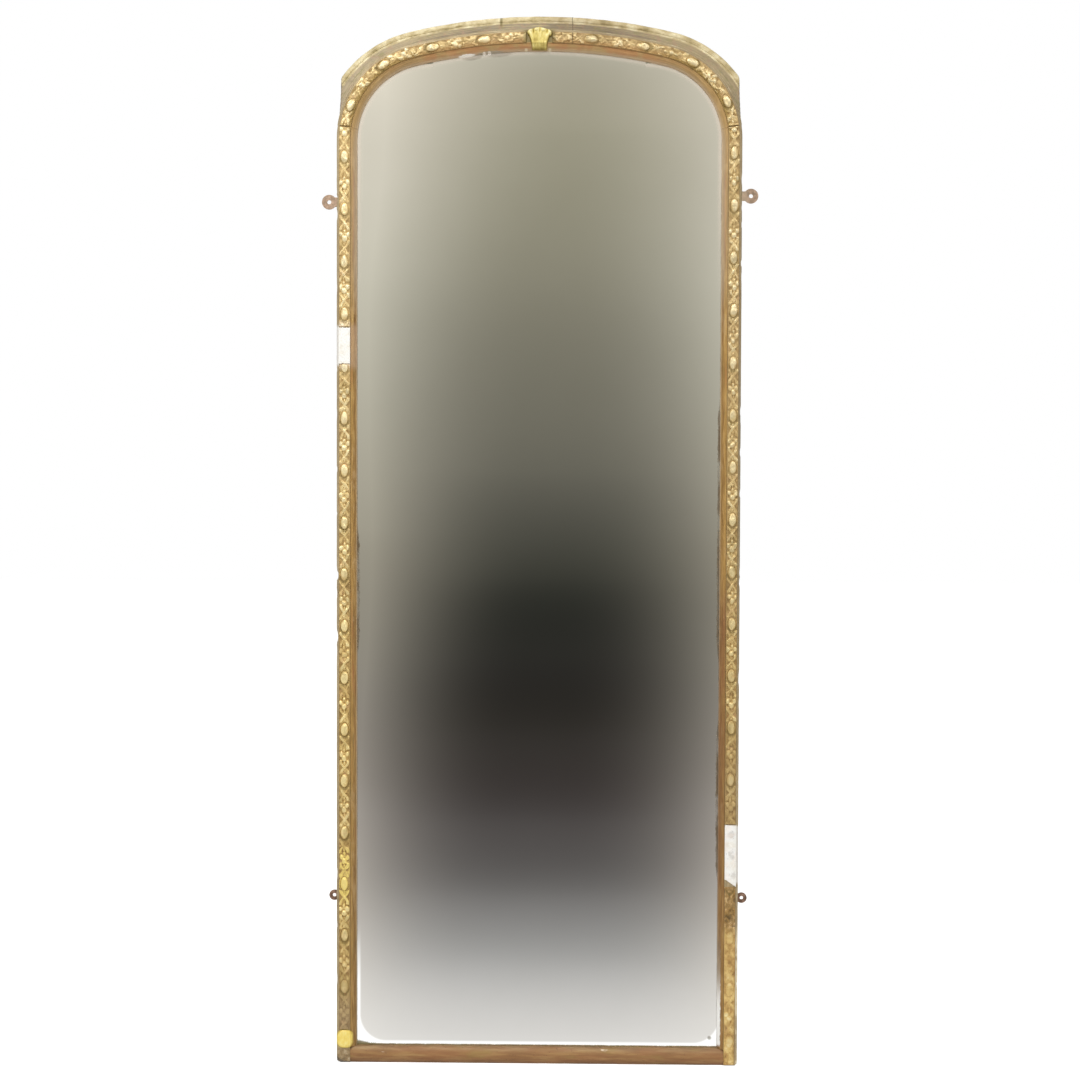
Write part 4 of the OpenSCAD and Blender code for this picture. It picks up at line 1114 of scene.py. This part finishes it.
leaf = relief_plate("crown_leaves", np.arange(-20.4, 20.5, 0.6), np.arange(0.2, 35.9, 0.6),
                    leaf_height, leaf_outline, (0.0, CROWN_Y + CROWN_R), droop=lambda x, y: over_slip(y))
dress(leaf, LEAF_GOLD, "new_gilding", "crown_leaf")


# The boss reaches out over the arris and in over the slip.
BOSS_W, BOSS_REACH = 27.4, 22.4
BOSS_IN = ORN_IN + BOSS_REACH - BOSS_W


def boss_height(x, y):
    tall, wide = (BOSS[1] - BOSS[0]) / 2, BOSS_W / 2
    u, v = (y - tall) / tall, (x - wide) / wide
    return 3.9 * np.sqrt(np.clip(1 - np.abs(u) ** 2.8 - np.abs(v) ** 2.8, 0, 1)) + 0.1


boss = relief_plate("regilded_boss", np.linspace(0, BOSS_W, 42), np.linspace(0, BOSS[1] - BOSS[0], 50),
                    boss_height, lambda x, y: boss_height(x, y) > 0.4, (SIGHT + BOSS_IN, BOSS[0]), -1,
                    droop=lambda x, y: over_slip(BOSS_IN + x))
dress(boss, BOSS_GOLD, "new_gilding", "foot_boss")


FILL_W = ORN_W + 0.4


def fill(word, low, high, side, slant, seed):
    """Trowelled plaster with a ragged outline, cut off at a slant below."""
    def height(x, y):
        worn = 3.0 - 0.9 * step(14.0, FILL_W, x) - 0.5 * step(1.2, 0, x)
        rough = 0.7 * (fractal(x / 4, y / 6, seed) - 0.5)
        return worn + rough + 0.3 * (field(x / 1.5, y / 1.5, seed + 3) - 0.5)

    def inside(x, y):
        ragged = 1.8 * (field(x / 3, 0.5, seed + 7) - 0.5)
        return (y > slant * (1 - x / FILL_W) + 1.0 + ragged) & (y < high - low - 1.0 + ragged)

    piece = relief_plate("plaster_patch_" + word, np.linspace(0, FILL_W, 32),
                         np.arange(0.2, high - low, 0.8), height, inside, (SIGHT + ORN_IN, low), side)
    dress(piece, PLASTER, "plaster", "plaster_fill_" + word)


fill("left", *FILL_L, -1, 0, 201)
fill("right", *FILL_R, 1, 12, 211)


# ---- finishes of the CAD pieces that stay --------

FINISH = {
    PINE: ["arch_rear_left", "arch_rear_right", "glazing_blocks", "setting_blocks", "arch_dowels"],
    **{BOARDS[word]: ["backboard_" + word] for word in BOARDS},
    BATTEN: ["arch_rear_crown", "cross_batten_lower", "cross_batten_upper"],
    BRASS: [f"hanging_plate_{height}_{word}" for height in ("upper", "lower") for side, word in SIDES],
    IRON: ["board_nails", "plate_screws"],
    SILVER: ["mirror_plate"],
}
for material, names in FINISH.items():
    for n in names:
        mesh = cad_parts[n].data
        mesh.materials.clear()
        mesh.materials.append(material)


# ---- studio --------

# The camera, fitted to the photo: its place in metres, its turns in radians, and its focal
# length in pixels of a picture 1080 pixels wide.
CAMERA = Vector((0.0468, -2.672, 0.949))
TURNED, TILT, ROLL = 0.0164, 0.02406, 0.00309
FOCUS_PX, PHOTO_PX = 1579, 1080
SENSOR = 36.0

camera = bpy.data.objects.new("camera", bpy.data.cameras.new("camera"))
camera.data.sensor_width = SENSOR
camera.data.lens = SENSOR * FOCUS_PX / PHOTO_PX
camera.matrix_world = (Matrix.Translation(CAMERA) @ Matrix.Rotation(TURNED, 4, "Z")
                       @ Matrix.Rotation(math.pi / 2 - TILT, 4, "X") @ Matrix.Rotation(ROLL, 4, "Z"))
bpy.context.scene.collection.objects.link(camera)
bpy.context.scene.camera = camera


def lamp(name, at, target, size, watts):
    light = bpy.data.lights.new(name, "AREA")
    light.shape, light.size, light.energy = "DISK", size, watts
    obj = bpy.data.objects.new(name, light)
    aim = (Vector(target) - Vector(at)).to_track_quat("-Z", "Y")
    obj.matrix_world = Matrix.Translation(at) @ aim.to_matrix().to_4x4()
    bpy.context.scene.collection.objects.link(obj)


lamp("key", (-1.1, -2.5, 3.7), (0, 0, 1.0), 1.6, 70)
lamp("fill", (1.9, -2.6, 3.2), (0, 0, 0.8), 1.8, 30)


def plane(name, corners):
    obj = make(name, corners, [[0, 1, 2, 3]], sharp=None)
    return obj


def direct_rays(t):
    """Camera rays, and all the rays that show a surface in view or mirrored, not only light it."""
    rays = t.node("LightPath", {}).outputs
    camera_ray, glossy, through = (Value(t, rays[f"Is {word} Ray"])
                                   for word in ("Camera", "Glossy", "Transmission"))
    return camera_ray, t.max(camera_ray, glossy, through)


floor = plane("floor", [(-14, -10, 0), (14, -10, 0), (14, 16, 0), (-14, 16, 0)])
floor.visible_glossy = False
t = Tree(bpy.data.materials.new("pale_floor"))
matte = t.add("BsdfDiffuse", {"Color": (0.86, 0.86, 0.85, 1)})
glow = t.add("Emission", {"Strength": direct_rays(t)[1] * 0.70})
floor.data.materials.append(t.finish(t.add("AddShader", {0: matte, 1: glow})))

# The card behind the camera that the glass reflects: pale at its rim, with a soft dark oval
# where the camera stands. Only mirror-like rays see it. gx and gz are the place on the glass
# where the camera sees a point of the card.
GLASS_Y = (MID_LEVEL - GLASS_FRONT) / 1000
CARD_Y = -3.2
CARD_X, CARD_LOW, CARD_TOP = 2.4, -3.2, 4.4
TALL = 1.8
OVAL_HALF = 0.305
PALE_MID, PALE_HALF, PALE_LOW, CORNER_R = 0.0043, 0.3024, 0.036, 0.043
CARD_WHITE = (1.15, 1.15, 1.15, 1)

card = plane("reflected_card", [(-CARD_X, CARD_Y, CARD_LOW), (CARD_X, CARD_Y, CARD_LOW),
                                (CARD_X, CARD_Y, CARD_TOP), (-CARD_X, CARD_Y, CARD_TOP)])
for ray in ("camera", "diffuse", "transmission", "volume_scatter", "shadow"):
    setattr(card, "visible_" + ray, False)
t, p = new_finish("reflected_card")
x, y, z = t.axes(p)
shrink = 1 + (GLASS_Y - CARD_Y) / (GLASS_Y - CAMERA.y)
gx = (x - CAMERA.x) / shrink + CAMERA.x
gz = (z - CAMERA.z) / shrink + CAMERA.z


def by_height(*stops):
    return t.ramp(gz / TALL, [(height / TALL, *colour) for height, *colour in stops], "CARDINAL")


middle = by_height((0.05, 221, 219, 217), (0.17, 174, 173, 172), (0.29, 114, 112, 111), (0.42, 75, 71, 70),
                   (0.56, 52, 49, 46), (0.68, 45, 44, 41), (0.82, 60, 60, 54), (1.00, 105, 103, 93),
                   (1.28, 135, 132, 117), (1.56, 162, 158, 139), (1.67, 175, 170, 153), (1.74, 190, 186, 170))
rim = by_height((0.05, 235, 232, 228), (0.25, 189, 184, 178), (0.46, 156, 150, 143), (0.66, 147, 142, 132),
                (0.90, 165, 160, 146), (1.30, 203, 199, 184), (1.60, 223, 217, 202), (1.72, 238, 231, 214))
oval_x = t.span(gz, 0.45, 0.88, 0.005, 0.026) + t.span(gz, 0.92, 1.10, 0.0, -0.006)
oval_x = oval_x + t.span(gz, 1.25, 1.58, 0.0, 0.027)
off = abs(gx - oval_x) / OVAL_HALF
steep = t.span(gz, 0.62, 0.86, 3.3, 2.62) + t.span(gz, 1.08, 1.58, 0.0, -0.68)
t.colour = t.mix(t.min(t.min(off, 1.15) ** steep, 1.25), middle, rim)
# The pale lower part of the photo's reflection ends in rounded corners, with white outside them.
qx = t.max(abs(gx - PALE_MID) - (PALE_HALF - CORNER_R), 0.0)
qz = t.max(PALE_LOW + CORNER_R - gz, 0.0)
rounded = t.rise(t.root(qx * qx + qz * qz), CORNER_R - 0.001, CORNER_R + 0.003) * t.rise(gz, 0.24, 0.12)
t.coat(t.max(rounded, t.rise(off, 1.3, 3.0)), CARD_WHITE)
card.data.materials.append(t.finish(t.add("Emission", {"Color": t.colour})))
t.owner.cycles.emission_sampling = "NONE"

world = bpy.data.worlds.new("studio")
bpy.context.scene.world = world
t = Tree(world)
camera_ray, direct = direct_rays(t)
up = t.axes(t.add("TexCoord", {}, "Generated"))[2]
room = t.ramp(up * 0.5 + 0.5, [(0.0, 236, 234, 230), (0.45, 226, 224, 218), (0.55, 206, 204, 196),
                               (1.0, 232, 230, 226)], "EASE")
light = t.add("Background", {"Strength": 0.62})
shown = t.add("Background", {"Color": t.mix(camera_ray, room, (1, 1, 1, 1))})
t.finish(t.add("MixShader", {0: direct, 1: light, 2: shown}), "World")

bpy.context.scene.view_settings.view_transform = "Standard"
